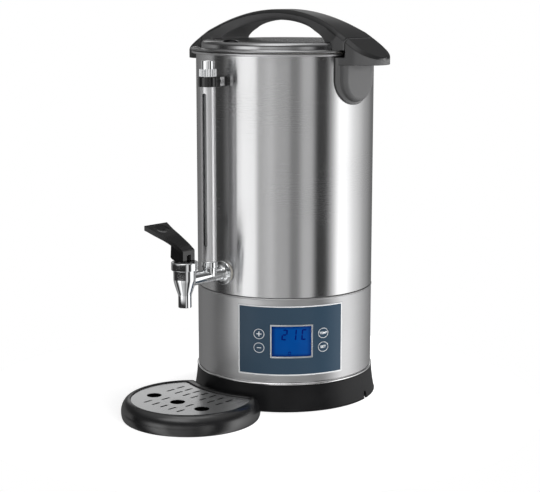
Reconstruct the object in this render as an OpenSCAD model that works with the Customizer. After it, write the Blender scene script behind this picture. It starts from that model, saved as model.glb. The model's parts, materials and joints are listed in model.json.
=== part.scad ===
// Electric coffee urn with a level gauge, a lever tap, a key panel and a drip tray.
// Millimetres, +Z up.  The origin is on the axis of the body, on the surface it stands on.
// The tap faces -Y, the side grips lie along X, and angles round the body count from the
// tap towards +X.

/* [Body] */
// Outer diameter of the steel body
body_d = 220; // [205:1:250]
// Thickness of the steel sheet
sheet_t = 0.8; // [0.6:0.1:1.2]
// Height of the upper wall, from the seam to the rim
wall_h = 290; // [265:1:340]
// Height of the lower skirt round the controls
skirt_h = 103.6; // [98:0.2:125]
// Gap between the outer wall and the tank
jacket_gap = 6; // [5:0.5:9]
// Diameter of the rolled bead on the rim
bead_d = 3.6; // [2.6:0.2:4.6]
// How far the bead stands out from the wall
bead_out = 5.5; // [4.5:0.1:7]
// Height of the dark gap above and below the skirt
seam_gap = 0.7; // [0.4:0.1:1.2]

/* [Base] */
// Height of the moulded base
base_h = 32.5; // [29:0.5:42]
// How far the top edge of the base stands out from the wall
base_lip = 1.5; // [1:0.1:3]
// How much wider the base is at its foot than at its top
base_flare = 4.3; // [2:0.1:8]
// Wall of the moulded base
base_wall = 3; // [2:0.2:4]
// Height of the rubber foot ring below the base
foot_h = 1.5; // [1:0.1:4]
// Width of the foot ring
foot_w = 12; // [8:0.5:16]
// Height of the bright trim ring
trim_h = 3; // [2:0.2:5]

/* [Lid] */
// Height of the lid's plateau above the rim
lid_rise = 12; // [9:0.5:18]
// How far the lid's shoulder stands outside the mouth of the tank
lid_over = 1; // [0.6:0.1:2]
// Radius of the lid's shoulder
lid_round = 5; // [3:0.5:7]
// How far the plug of the lid reaches into the tank
plug_depth = 9; // [6:0.5:14]
// Length of the steam vent
vent_len = 15; // [10:1:20]

/* [Handles] */
// Height of the top of the arch above the rim
arch_rise = 49.5; // [46:0.5:60]
// Height of the ends of the arch above the rim
arch_end = 17.5; // [15:0.5:20]
// Height of the finger gap above the plateau
finger_h = 24.5; // [20:0.5:26]
// Length of each foot of the arch
arch_foot = 32; // [30:0.5:38]
// Width of the arch at its ends and of the side grips
grip_w = 58; // [54:1:62]
// Width of the arch at its middle
waist_w = 36; // [30:1:46]
// Gap between the arch and a side grip
part_gap = 1.5; // [1:0.1:2.5]
// Length of a side grip outwards from that gap
grip_len = 36; // [33:0.5:46]
// Wall of the hollow grip
grip_wall = 3.5; // [2.5:0.1:4.5]
// Width of the grip's plate on the wall
plate_w = 62; // [60:1:68]
// Thickness of that plate
plate_t = 3.3; // [2.5:0.1:5]

/* [Tap] */
// Distance of the spout from the wall
tap_reach = 66; // [58:1:80]
// Height of the tap's shank above the floor of the tank
shank_rise = 18; // [16:0.5:24]
// Diameter of the shank
shank_d = 16.5; // [14.5:0.1:18]
// Bore of the shank
shank_bore = 9; // [7:0.5:10]
// Diameter of the flange on the wall
flange_d = 29.5; // [27:0.5:34]
// Diameter of the tap's head
head_d = 27; // [25:0.5:30]
// Diameter of the spout
spout_d = 16; // [14:0.5:18]
// Length of the straight spout
spout_len = 15; // [10:0.5:22]
// Diameter of the bonnet
bonnet_d = 31.7; // [30:0.1:36]
// Height of the bonnet
bonnet_h = 10; // [9:0.5:13]
// Diameter of the valve stem
stem_d = 6; // [5:0.1:7]
// Diameter of the lever's pin
pin_d = 3; // [2.4:0.1:3.4]
// Lift of the valve in one radian of tilt
cam_lift = 7.5; // [6:0.1:8.5]
// Largest tilt of the lever in degrees
tilt_max = 35; // [25:1:38]
// Length of the lever
lever_len = 56.5; // [48:0.5:66]
// Width of the lever at its free end
lever_w = 37; // [28:1:40]
// Width of the lever's block
block_w = 19; // [17:0.5:22]
// Rise of the lever from its block to its end
lever_up = 25.5; // [20:0.5:30]

/* [Level gauge] */
// Distance of the gauge from the wall
gauge_reach = 24.8; // [22:0.2:28]
// Diameter of the bright shield
shield_d = 17.7; // [16:0.1:20]
// Length of the shield
shield_len = 208; // [180:1:215]
// Diameter of the glass tube
glass_d = 10; // [8:0.5:11]
// Width of the slot in the shield
slot_w = 5.5; // [4:0.1:7]
// Turn of the slot from the front in degrees
slot_az = 13; // [0:1:40]
// Height of the bracket
bracket_h = 11.5; // [10:0.5:14]
// Diameter of the bracket's ring
bracket_d = 22.6; // [22:0.1:26]
// Diameter of the knurled ring of the cap
cap_d = 21; // [19:0.1:22]
// Height of the cap
cap_h = 19.2; // [17:0.2:22]

/* [Panel] */
// Angle from the tap to the middle of the panel
panel_az = 46.5; // [40:0.5:60]
// Width of the panel, across its straight edges
panel_w = 127; // [118:0.5:132]
// Height of the panel
panel_h = 86.4; // [78:0.2:90]
// Height of the panel above the bottom of the skirt
panel_rise = 8.4; // [6:0.2:12]
// Width of the display's frame
display_w = 52; // [46:0.5:56]
// Height of the display's frame
display_h = 41.4; // [36:0.2:46]
// Width of the frame's border
bezel_w = 2; // [1.4:0.1:3]
// Diameter of a key
key_d = 12.6; // [10:0.2:13.6]
// Distance of the keys from the middle of the panel
key_x = 39; // [35:0.5:42]
// Height of one key above the other
key_pitch = 17.1; // [16:0.1:20]
// Travel of a key
key_travel = 0.8; // [0.4:0.1:1.2]

/* [Drip tray] */
// Radius of the tray
tray_r = 84; // [78:0.5:90]
// Distance of the tray's middle from the wall
tray_reach = 58; // [54:0.5:64]
// Height of the tray
tray_h = 24; // [20:0.5:30]
// Radius of the tray's round edge
tray_round = 11; // [7:0.5:13]
// Width of the tray's rim
tray_rim = 12; // [11.5:0.1:15]
// Width of the band between the grille and the base
tray_band = 17; // [14:0.5:22]
// Gap between the tray and the base
tray_gap = 0.8; // [0.6:0.1:3]
// Thickness of the grille
grille_t = 1.2; // [0.8:0.1:2]
// How far the grille lies below the rim
grille_drop = 1.5; // [0.8:0.1:2.5]
// Diameter of a round hole in the grille
hole_d = 18; // [14:0.5:20]
// Distance between the round holes
hole_pitch = 41; // [36:0.5:44]
// Length of a slot in the grille
slit_len = 13; // [10:0.5:14]
// Width of a slot in the grille
slit_w = 3; // [2:0.1:4]
// Distance between the slots
slit_pitch = 14; // [12:0.5:15]

/* [Hidden] */
$fn = 96;

// Clearance of pieces that are fixed to each other
fit = 0.2;
// Clearance of pieces that move past each other
run = 0.3;
// Radial clearance of a pin in its hole
pin_fit = 0.05;
// Overshoot of a cut
cut = 1;

// Radii from the axis of the body
body_r = body_d / 2;
wall_in = body_r - sheet_t;
tank_r = wall_in - jacket_gap;
tank_in = tank_r - sheet_t;
bead_r = bead_d / 2;
bead_c = body_r + bead_out - bead_r;
base_top_r = body_r + base_lip;
base_foot_r = base_top_r + base_flare;
lid_past_bead = 1.9;
lid_r = body_r + bead_out + lid_past_bead;
arch_past_lid = 0.6;
arch_r = lid_r + arch_past_lid;
grip_r = arch_r + part_gap;

// Heights from the surface that the urn stands on
base_z = foot_h;
base_top = base_z + base_h;
trim_top = base_top + trim_h;
skirt_z = trim_top + seam_gap;
skirt_top = skirt_z + skirt_h;
wall_z = skirt_top + seam_gap;
rim_z = wall_z + wall_h + sheet_t;
heater_room = 8;
tank_floor = wall_z + heater_room;
plateau_z = rim_z + lid_rise;
arch_top = rim_z + arch_rise;

// Points on an arc about [x, y], from angle a to angle b
function arc(c, r, a, b, n = 6) =
    [for (i = [0:n]) let (t = a + (b - a) * i / n) c + r * [cos(t), sin(t)]];

module at_angle(a) {
    rotate([0, 0, a]) children();
}

// Points local +Z outwards, towards the tap, at height z
module towards_tap(z) {
    translate([0, 0, z]) rotate([90, 0, 0]) children();
}

module tube(r_out, r_in, h) {
    difference() {
        cylinder(r = r_out, h = h);
        translate([0, 0, -cut]) cylinder(r = r_in, h = h + 2 * cut);
    }
}

// A box centred across X, with its low face at z
module slab(w, y0, y1, z0, z1) {
    translate([-w / 2, y0, z0]) cube([w, y1 - y0, z1 - z0]);
}

// A skin through cross-sections that have the same number of points, each drawn clockwise
// as seen from the last one
module loft(sections) {
    n = len(sections[0]);
    last = (len(sections) - 1) * n;
    sides = [
        for (s = [0:len(sections) - 2], i = [0:n - 1])
            let (a = s * n + i, b = s * n + (i + 1) % n)
            each [[a, b + n, a + n], [a, b, b + n]]
    ];
    ends = [[for (i = [n - 1:-1:0]) i], [for (i = [0:n - 1]) last + i]];
    polyhedron(points = [for (s = sections) each s], faces = concat(sides, ends));
}

// Base

foot_inset = 20;
foot_r = body_r - foot_inset;
foot_seat = 2;
foot_edge = 1;
plate_inset = 1.5;
plate_r = base_foot_r - base_wall - plate_inset - fit;
base_plate_t = 3;
base_plate_up = 0.5;
base_plate_z = base_z + base_plate_up;
base_round = 1.5;
base_bow = 1.6;
notch_az = 104;
notch_w = 7;
notch_h = 10;
notch_in = 4;
notch_r = body_r - notch_in;
inlet_w = 28;
inlet_h = 20;
inlet_wall = 2;
inlet_side = 3;
inlet_depth = 18;
inlet_back = 4;
inlet_rise = 16;
inlet_z = base_z + inlet_rise;
inlet_proud = 1.1;
inlet_face_r = base_top_r + inlet_proud;
socket_back = base_foot_r - inlet_depth;
blade_w = 2;
blade_h = 5;
blade_out = 13;
blade_in = 10;
// Places of the three blades across the inlet and above its middle
blade_at = [[-7, -2], [0, 2], [7, -2]];
shelf_t = 3;
shelf_w = 9;
shelf_r = body_r - shelf_w;
screw_r = 1.9;
screw_head_r = 3.6;
screw_head_h = 2.4;
screw_crown = 0.8;
base_screw_angles = [22.5, 112.5, 202.5, 292.5];
base_screw_in = 7;
base_screw_ring = base_top_r - base_wall - base_screw_in;
base_screw_len = 14;
base_post_r = 4.5;
head_sink = 1.6;
trim_in = 1.2;

// The outside of the base at a share t of its height
function base_edge(t) = base_top_r + base_flare * pow(1 - t, base_bow);

base_side = [for (i = [1:8]) [base_edge(i / 8), base_z + base_h * i / 8]];
base_inner = [for (i = [7:-1:0]) [base_edge(i / 8) - base_wall, base_z + (base_h - shelf_t) * i / 7]];

module base_notches() {
    for (side = [-1, 1])
        at_angle(side * notch_az) {
            slab(notch_w, -base_foot_r - cut, -notch_r, -cut, base_z + notch_h - notch_w / 2);
            translate([0, -notch_r, base_z + notch_h - notch_w / 2])
                rotate([90, 0, 0])
                cylinder(d = notch_w, h = base_foot_r - notch_r + cut);
        }
}

module base_housing() {
    color("#1c1c1e")
    difference() {
        rotate_extrude()
            polygon(concat(
                [[base_foot_r - base_round, base_z], [base_foot_r, base_z + base_round]],
                base_side,
                [[shelf_r, base_top], [shelf_r, base_top - shelf_t]],
                base_inner
            ));
        base_notches();
        at_angle(180)
            slab(inlet_w + 2 * fit, -base_foot_r - cut, -socket_back + inlet_back + fit,
                 inlet_z - inlet_h / 2 - fit, inlet_z + inlet_h / 2 + fit);
    }
    color("#1c1c1e")
    for (a = base_screw_angles)
        at_angle(a)
            translate([0, -base_screw_ring, base_plate_z + base_plate_t])
            tube(base_post_r, screw_r + fit, base_top - shelf_t / 2 - base_plate_z - base_plate_t);
}

module base_plate() {
    color("#2a2a2c")
    difference() {
        translate([0, 0, base_plate_z]) cylinder(r = plate_r, h = base_plate_t);
        translate([0, 0, base_plate_z - cut]) tube(foot_r + fit, foot_r - foot_w - fit, cut + foot_seat);
        for (a = base_screw_angles)
            at_angle(a)
                translate([0, -base_screw_ring, base_plate_z - cut]) {
                    cylinder(r = screw_r + fit, h = base_plate_t + 2 * cut);
                    cylinder(r = screw_head_r + fit, h = cut + head_sink);
                }
        for (side = [-1, 1])
            at_angle(side * notch_az)
                slab(notch_w, -base_foot_r, -notch_r, -cut, base_z + notch_h);
    }
}

module foot_ring() {
    inner = foot_r - foot_w;
    top = base_plate_z + foot_seat;
    color("#151515")
    rotate_extrude()
        polygon([[inner + foot_edge, 0], [foot_r - foot_edge, 0], [foot_r, foot_edge], [foot_r, top],
                 [inner, top], [inner, foot_edge]]);
}

module pan_screw(len) {
    rotate_extrude()
        polygon([[0, 0], [screw_head_r - screw_crown, 0], [screw_head_r, screw_crown],
                 [screw_head_r, screw_head_h], [screw_r, screw_head_h], [screw_r, screw_head_h + len],
                 [0, screw_head_h + len]]);
}

module base_screws() {
    color("#b8b8b8")
    for (a = base_screw_angles)
        at_angle(a)
            translate([0, -base_screw_ring, base_plate_z + head_sink - screw_head_h])
            pan_screw(base_screw_len);
}

module trim_ring() {
    spigot_r = wall_in - fit;
    spigot_h = 5;
    spigot_top = trim_top + spigot_h;
    spigot_t = 1.2;
    shelf_lap = 2;
    inner = shelf_r + shelf_lap;
    color("#d8d8d8")
    rotate_extrude()
        polygon(concat(
            [[inner, base_top], [base_top_r - trim_in, base_top]],
            arc([base_top_r - trim_in, base_top + trim_h / 2], trim_h / 2, -90, 90, 8),
            [[spigot_r, trim_top], [spigot_r, spigot_top], [spigot_r - spigot_t, spigot_top],
             [spigot_r - spigot_t, trim_top], [inner, trim_top]]
        ));
}

module at_blades() {
    for (at = blade_at) translate([at[0], 0, inlet_z + at[1]]) children();
}

module power_inlet() {
    color("#161616")
    at_angle(180)
    difference() {
        intersection() {
            slab(inlet_w, -base_foot_r, -socket_back + inlet_back,
                 inlet_z - inlet_h / 2, inlet_z + inlet_h / 2);
            cylinder(r = inlet_face_r, h = base_top);
        }
        slab(inlet_w - 2 * inlet_side, -base_foot_r - cut, -socket_back,
             inlet_z - inlet_h / 2 + inlet_wall, inlet_z + inlet_h / 2 - inlet_wall);
        at_blades()
            slab(blade_w + 2 * fit, -socket_back - cut, -socket_back + inlet_back + cut,
                 -blade_h / 2 - fit, blade_h / 2 + fit);
    }
}

module inlet_pins() {
    color("#c9b27a")
    at_angle(180)
    at_blades()
        slab(blade_w, -socket_back - blade_out, -socket_back + blade_in, -blade_h / 2, blade_h / 2);
}

// Skirt and control panel

panel_z = skirt_z + panel_rise;
panel_mid = panel_z + panel_h / 2;
fascia_proud = 0.4;
fascia_r = body_r + fascia_proud;
fascia_t = 2.8;
fascia_in = fascia_r - fascia_t;
fascia_lip = 4;
display_rise = 22;
display_z = panel_z + display_rise;
display_seat = 1.6;
screen_proud = 0.3;
screen_r = fascia_r + screen_proud;
bezel_proud = 1.2;
bezel_r = fascia_r + bezel_proud;
board_depth = 22;
board_y = body_r - board_depth;
board_t = 1.6;
board_w = 94;
board_h = 64;
post_d = 5;
post_x = 30;
post_z = 27;
switch_w = 6;
switch_h = 4;
key_r = key_d / 2;
key_mid = display_z + display_h / 2;
key_proud = 0.2;
key_flange = 1.4;
plunger_r = 2;
curl = 4;

module lower_skirt() {
    bead = 1.2;
    color("#c9cacc")
    difference() {
        rotate_extrude()
            polygon(concat(
                [[wall_in, skirt_z], [body_r, skirt_z], [body_r, skirt_top - 2 * bead]],
                arc([body_r - bead / 2, skirt_top - bead], bead, -45, 90),
                [[wall_in - curl, skirt_top], [wall_in - curl, skirt_top - sheet_t],
                 [wall_in, skirt_top - sheet_t]]
            ));
        at_angle(panel_az) slab(panel_w, -body_r - 2 * cut, 0, panel_z, panel_z + panel_h);
    }
}

// A plate bent round the body between two radii, which is a rectangle seen square on
module bent_plate(r_out, r_in, w, z0, z1) {
    intersection() {
        translate([0, 0, z0]) tube(r_out, r_in, z1 - z0);
        slab(w, -r_out - cut, 0, z0 - cut, z1 + cut);
    }
}

// A rod that points out of the panel, from y inwards of its face to y nearer the face
module panel_rod(r, x, z, y0, y1) {
    translate([x, -y0, z]) rotate([90, 0, 0]) cylinder(r = r, h = y1 - y0);
}

module panel_fascia() {
    color("#3b4a59")
    at_angle(panel_az)
    difference() {
        union() {
            bent_plate(fascia_r, fascia_in, panel_w - 2 * fit, panel_z + fit, panel_z + panel_h - fit);
            bent_plate(wall_in - fit, fascia_in, panel_w + 2 * fascia_lip,
                       panel_z - fascia_lip, panel_z + panel_h + fascia_lip);
            intersection() {
                translate([0, 0, panel_z]) cylinder(r = fascia_in + fascia_t / 4, h = panel_h);
                for (x = [-1, 1], z = [-1, 1])
                    panel_rod(post_d / 2, x * post_x, panel_mid + z * post_z, board_y, body_r);
            }
        }
        slab(display_w - 2 * bezel_w + 2 * fit, -fascia_r - cut, -board_y,
             display_z + bezel_w - fit, display_z + display_h - bezel_w + fit);
        bent_plate(fascia_r + cut, fascia_r - display_seat, display_w + 2 * fit,
                   display_z - fit, display_z + display_h + fit);
        for (x = [-1, 1], z = [-1, 1])
            panel_rod(key_r + run, x * key_x, key_mid + z * key_pitch / 2, board_y, body_r + cut);
    }
}

module display_bezel() {
    color("#b9c0c6")
    at_angle(panel_az)
    difference() {
        bent_plate(bezel_r, fascia_r - display_seat, display_w, display_z, display_z + display_h);
        slab(display_w - 2 * bezel_w, -bezel_r - cut, 0,
             display_z + bezel_w, display_z + display_h - bezel_w);
    }
}

module display_screen() {
    color("#0a50a5")
    at_angle(panel_az)
    bent_plate(screen_r, fascia_in, display_w - 2 * bezel_w - 2 * fit,
               display_z + bezel_w + fit, display_z + display_h - bezel_w - fit);
}

module display_module() {
    half = display_w / 2 - bezel_w - cut;
    front = sqrt(fascia_in * fascia_in - half * half) - fit;
    color("#2f3a40")
    at_angle(panel_az)
    slab(2 * half, -front, -board_y - pin_fit,
         display_z + bezel_w + cut, display_z + display_h - bezel_w - cut);
}

module control_board() {
    color("#1f6b3a")
    at_angle(panel_az) {
        slab(board_w, -board_y, -board_y + board_t, panel_mid - board_h / 2, panel_mid + board_h / 2);
        for (x = [-1, 1], z = [-1, 1])
            translate([x * key_x, 0, key_mid + z * key_pitch / 2])
            slab(switch_w, -board_y - switch_h, -board_y, -switch_w / 2, switch_w / 2);
    }
}

// A key whose face follows the bend of the panel, with a flange behind the fascia
module key(side, level) {
    x = side * key_x;
    z = key_mid + level * key_pitch / 2;
    flange_r = key_r + key_flange;
    flange_y = sqrt(fascia_in * fascia_in - pow(key_x + flange_r, 2)) - run;
    color("#44535f")
    at_angle(panel_az)
    union() {
        intersection() {
            panel_rod(key_r, x, z, flange_y, body_r + cut);
            translate([0, 0, z - flange_r]) cylinder(r = fascia_r + key_proud, h = 2 * flange_r);
        }
        panel_rod(flange_r, x, z, flange_y - key_flange, flange_y);
        panel_rod(plunger_r, x, z, board_y + switch_h + key_travel + run, flange_y);
    }
}

module key_up() {
    key(-1, 1);
}

module key_down() {
    key(-1, -1);
}

module key_menu() {
    key(1, 1);
}

module key_start() {
    key(1, -1);
}

// Wall and tank

shank_r = shank_d / 2;
shank_z = tank_floor + shank_rise;
thread_in = 0.3;
thread_r = shank_r - thread_in;
tap_r = body_r + tap_reach;
gauge_r = body_r + gauge_reach;
glass_r = glass_d / 2;
socket_h = 18;
socket_top = shank_z + socket_h;
bracket_z = socket_top + shield_len;
bracket_mid = bracket_z + bracket_h / 2;
grip_screw_drops = [23, 43];
wall_screw_len = 8;
wall_head = wall_in - screw_head_h - fit / 2;
tank_round = 6;
probe_az = 115;
probe_inset = 22;
probe_ring = tank_in - probe_inset;
probe_r = 3;
probe_up = 20;
probe_tip = 2;
probe_socket_r = 5;
probe_socket_h = 12;

// Places the screws that come through the wall from inside, pointing outwards along local +Z
module at_wall_screws() {
    for (a = [90, -90], d = grip_screw_drops)
        at_angle(a) towards_tap(rim_z - d) translate([0, 0, wall_head]) children();
    towards_tap(bracket_mid) translate([0, 0, wall_head]) children();
}

module screw_hole(len) {
    cylinder(r = screw_r + fit, h = screw_head_h + len);
}

module outer_wall() {
    color("#cfd0d2")
    difference() {
        union() {
            translate([0, 0, wall_z]) tube(body_r, wall_in, wall_h);
            translate([0, 0, wall_z]) tube(wall_in + sheet_t / 2, wall_in - curl, sheet_t);
        }
        towards_tap(shank_z) cylinder(r = thread_r + fit, h = body_r + cut);
        at_wall_screws() screw_hole(wall_screw_len);
    }
}

module wall_screws() {
    color("#b8b8b8")
    at_wall_screws() pan_screw(wall_screw_len);
}

module tank() {
    color("#d4d5d6")
    difference() {
        rotate_extrude() {
            polygon(concat(
                [[0, tank_floor - sheet_t], [tank_r - tank_round, tank_floor - sheet_t]],
                arc([tank_r - tank_round, tank_floor - sheet_t + tank_round], tank_round, -90, 0),
                [[tank_r, rim_z - sheet_t], [bead_c, rim_z - sheet_t], [bead_c, rim_z], [tank_in, rim_z]],
                arc([tank_r - tank_round, tank_floor - sheet_t + tank_round], tank_round - sheet_t, 0, -90),
                [[0, tank_floor]]
            ));
            translate([bead_c, rim_z - bead_r]) circle(r = bead_r);
        }
        towards_tap(shank_z) cylinder(r = thread_r + fit, h = body_r);
        at_angle(probe_az)
            translate([0, -probe_ring, tank_floor - 2 * cut])
            cylinder(r = probe_r + fit, h = 4 * cut);
    }
}

// Heater, cut-out and probe under the tank

heater_r = 60;
heater_t = 4;
heater_top = tank_floor - sheet_t;
coil_r = 44;
coil_d = 8;
coil_turn = 310;
lead_len = 18;
lead_in = 3;
heater_hole_r = 5;
cutout_x = 20;
cutout_r = 8;
cutout_h = 9;
cutout_flange_r = 11;
cutout_flange_t = 1.5;

module heater_plate() {
    color("#a9acb0")
    translate([0, 0, heater_top - heater_t]) tube(heater_r, heater_hole_r, heater_t);
}

module heating_element() {
    coil_z = heater_top - heater_t - coil_d / 2;
    color("#6d6a66") {
        translate([0, 0, coil_z])
            rotate([0, 0, (360 - coil_turn) / 2])
            rotate_extrude(angle = coil_turn)
            translate([coil_r, 0]) circle(d = coil_d);
        for (side = [-1, 1])
            rotate([0, 0, side * ((360 - coil_turn) / 2 + lead_in)])
            translate([coil_r, 0, coil_z - lead_len])
            cylinder(d = coil_d / 2, h = lead_len);
    }
}

module thermal_cutout() {
    color("#d9d4c8")
    translate([cutout_x, 0, heater_top - heater_t])
    rotate([180, 0, 0])
    rotate_extrude()
    polygon([[0, 0], [cutout_flange_r, 0], [cutout_flange_r, cutout_flange_t], [cutout_r, cutout_flange_t],
             [cutout_r, cutout_h], [0, cutout_h]]);
}

module temperature_probe() {
    color("#c4c6c8")
    at_angle(probe_az)
    translate([0, -probe_ring, tank_floor])
    rotate_extrude()
    polygon([[0, -probe_socket_h], [probe_socket_r, -probe_socket_h], [probe_socket_r, -sheet_t],
             [probe_r, -sheet_t], [probe_r, probe_up], [probe_r / 2, probe_up + probe_tip],
             [0, probe_up + probe_tip]]);
}

// Tap

head_rise = 13;
head_z = shank_z + head_rise;
cone_drop = 17;
cone_z = shank_z - cone_drop;
spout_z = cone_z - spout_len;
seat_drop = 8;
seat_z = shank_z - seat_drop;
seat_w = 1.5;
tap_bow = 1.7;
head_r = head_d / 2;
spout_r = spout_d / 2;
spout_wall = 1.6;
chamber_r = 8;
neck_r = 11.5;
neck_h = 6;
bonnet_r = bonnet_d / 2;
bonnet_top = head_z + bonnet_h;
stem_r = stem_d / 2;
washer_t = 1.2;
washer_z = bonnet_top + fit;
washer_top = washer_z + washer_t;
pin_r = pin_d / 2;
pin_h = 7;
pin_z = washer_top + pin_h;
eye_wall = 0.4;
eye_r = stem_r + eye_wall;
eye_t = stem_d - 1;
stem_seat = 2.1;
stem_end = 4;
collar_r = 6.5;
collar_t = 1.4;
cup_r = 7;
cup_h = 8.3;
cup_z = seat_z + run;
collar_z = cup_z + cup_h;
spring_d = 11.2;
wire_d = 1.1;
spring_turns = 5;
spring_z = collar_z + collar_t + fit + wire_d / 2;
spring_top = head_z + neck_h - fit - wire_d / 2;
seal_t = 1.4;
seal_in_t = 2;
nut_af = 24;
nut_t = 6;
flange_edge = 1.5;
flange_t = 5;
flange_foot = 2.5;
flange_len = 7;
shank_in = 14;
shank_end = 0.6;
socket_ring_z = 10;
socket_ring_w = 1;
socket_ring_h = 6;
glass_seat = 9;
glass_wall = 1.3;
glass_stop = 2;
gland_h = 5;
gland_w = 1.6;
gland_seal_h = 4;
bonnet_edge = 1.4;
bonnet_foot = 0.7;
cam_washer_r = 12.5;

// The bulging outside of the tap at a share t of the way down from its head
function tap_edge(t) = spout_r + (head_r - spout_r) * (1 - pow(t, tap_bow));

module at_tap() {
    translate([0, -tap_r, 0]) children();
}

module tap_shank() {
    flange_y = body_r + seal_t;
    flange_r = flange_d / 2 - flange_edge;
    start = tank_in - shank_in;
    end = tap_r - chamber_r - shank_end;
    socket_r = shield_d / 2;
    ring_r = socket_r + socket_ring_w;
    color("#e3e5e8")
    difference() {
        union() {
            towards_tap(shank_z)
                rotate_extrude()
                polygon(concat(
                    [[0, start], [thread_r, start], [thread_r, flange_y], [flange_r, flange_y]],
                    arc([flange_r, flange_y + flange_edge], flange_edge, -90, 60),
                    [[shank_r + flange_foot, flange_y + flange_t], [shank_r, flange_y + flange_len],
                     [shank_r, end], [0, end]]
                ));
            translate([0, -gauge_r, shank_z])
                rotate_extrude()
                polygon([[0, 0], [socket_r, 0], [socket_r, socket_ring_z],
                         [ring_r, socket_ring_z + socket_ring_w], [ring_r, socket_ring_z + socket_ring_h],
                         [socket_r, socket_h], [0, socket_h]]);
        }
        towards_tap(shank_z) cylinder(d = shank_bore, h = tap_r);
        translate([0, -gauge_r, shank_z]) {
            cylinder(r = glass_r - glass_stop, h = socket_h + cut);
            translate([0, 0, glass_seat]) cylinder(r = glass_r + fit, h = socket_h);
            translate([0, 0, socket_h - gland_h]) cylinder(r = glass_r + gland_w, h = socket_h);
        }
    }
}

module shank_nut() {
    color("#c9ccd0")
    towards_tap(shank_z)
    translate([0, 0, tank_in - seal_in_t - nut_t])
    difference() {
        cylinder(r = nut_af / sqrt(3), h = nut_t, $fn = 6);
        translate([0, 0, -cut]) cylinder(r = thread_r + pin_fit, h = nut_t + 2 * cut);
    }
}

module shank_seals() {
    color("#b9b4aa") {
        difference() {
            towards_tap(shank_z)
                translate([0, 0, body_r - seal_t])
                tube(flange_d / 2 - flange_edge, thread_r + pin_fit, 2 * seal_t);
            translate([0, 0, shank_z - flange_d]) cylinder(r = body_r, h = 2 * flange_d);
        }
        intersection() {
            towards_tap(shank_z)
                translate([0, 0, tank_in - seal_in_t])
                tube(nut_af / 2, thread_r + pin_fit, 2 * seal_in_t);
            translate([0, 0, shank_z - flange_d]) cylinder(r = tank_in - pin_fit, h = 2 * flange_d);
        }
    }
}

module tap_body() {
    mouth_r = spout_r - spout_wall;
    color("#e3e5e8")
    difference() {
        at_tap()
            rotate_extrude()
            polygon(concat(
                [[mouth_r, spout_z], [spout_r, spout_z], [spout_r, cone_z]],
                [for (i = [9:-1:0]) [tap_edge(i / 10), head_z - (head_z - cone_z) * i / 10]],
                [[neck_r, head_z], [neck_r, head_z + neck_h], [chamber_r, head_z + neck_h],
                 [chamber_r, seat_z], [mouth_r - seat_w, seat_z], [mouth_r - seat_w, cone_z],
                 [mouth_r, cone_z - 2 * seat_w]]
            ));
        towards_tap(shank_z) cylinder(r = shank_r + pin_fit, h = tap_r);
    }
}

module tap_bonnet() {
    color("#e3e5e8")
    at_tap()
    rotate_extrude()
    polygon([[neck_r + pin_fit, head_z + pin_fit], [bonnet_r - bonnet_foot, head_z + pin_fit],
             [bonnet_r, head_z + bonnet_foot], [bonnet_r, bonnet_top - bonnet_edge],
             [bonnet_r - bonnet_edge, bonnet_top], [stem_r + run, bonnet_top],
             [stem_r + run, head_z + neck_h + pin_fit], [neck_r + pin_fit, head_z + neck_h + pin_fit]]);
}

// A round wire wound into a spring, one unbroken tube
spring_steps = 10;
spring_sides = 6;
spring_pitch = (spring_top - spring_z) / spring_turns;
function coil_point(i) =
    let (a = 360 * i / spring_steps)
    [spring_d / 2 * cos(a), spring_d / 2 * sin(a), spring_z + spring_pitch * i / spring_steps];
function coil_ring(i) =
    let (a = 360 * i / spring_steps)
    [for (k = [0:spring_sides - 1])
        let (b = 360 * k / spring_sides)
        coil_point(i) + wire_d / 2 * [cos(b) * cos(a), cos(b) * sin(a), sin(b)]];
spring_gap = min([
    for (i = [0:spring_steps * (spring_turns - 1)])
        norm(coil_point(i) - coil_point(i + spring_steps))
]) - wire_d;

module tap_spring() {
    echo(least_gap_between_turns = spring_gap);
    color("#9a9da1")
    at_tap() loft([for (i = [0:spring_steps * spring_turns]) coil_ring(i)]);
}

module cam_washer() {
    color("#202022")
    at_tap() translate([0, 0, washer_z]) tube(cam_washer_r, stem_r + run, washer_t);
}

module tap_stem() {
    color("#c9ccd0")
    at_tap()
    difference() {
        union() {
            translate([0, 0, cup_z + stem_seat + pin_fit]) cylinder(r = stem_r, h = pin_z - cup_z - stem_end);
            translate([0, 0, collar_z]) cylinder(r = collar_r, h = collar_t);
            translate([0, eye_t / 2, pin_z]) rotate([90, 0, 0]) cylinder(r = eye_r, h = eye_t);
        }
        translate([0, block_w, pin_z]) rotate([90, 0, 0]) cylinder(r = pin_r + pin_fit, h = 2 * block_w);
    }
}

module seat_cup() {
    color("#8f2f2a")
    at_tap()
    translate([0, 0, cup_z])
    rotate_extrude()
    polygon([[0, 0], [cup_r - seat_w, 0], [cup_r, seat_w], [cup_r, cup_h], [stem_r + pin_fit, cup_h],
             [stem_r + pin_fit, stem_seat], [0, stem_seat]]);
}

block_half = 7.5;
lever_t = 5.5;
lever_edge = 0.8;
lever_flare = 1.7;
cam_past = 8;
pin_short = 0.4;
// Shares of the lever's length where its block runs into it
block_low = 0.36;
block_mid = 0.25;
block_high = 0.12;
lever_path = [[0, 0], [0.12, 0.19], [0.25, 0.34], [0.5, 0.58], [0.75, 0.77], [1, 1]];

// The cam's outline under the pin: its foot keeps to a flat washer and lifts it evenly with the tilt
function cam_point(a) =
    let (h = pin_h - run + cam_lift * a * PI / 180)
    [-h * sin(a) - cam_lift * cos(a), -h * cos(a) + cam_lift * sin(a)];

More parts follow.
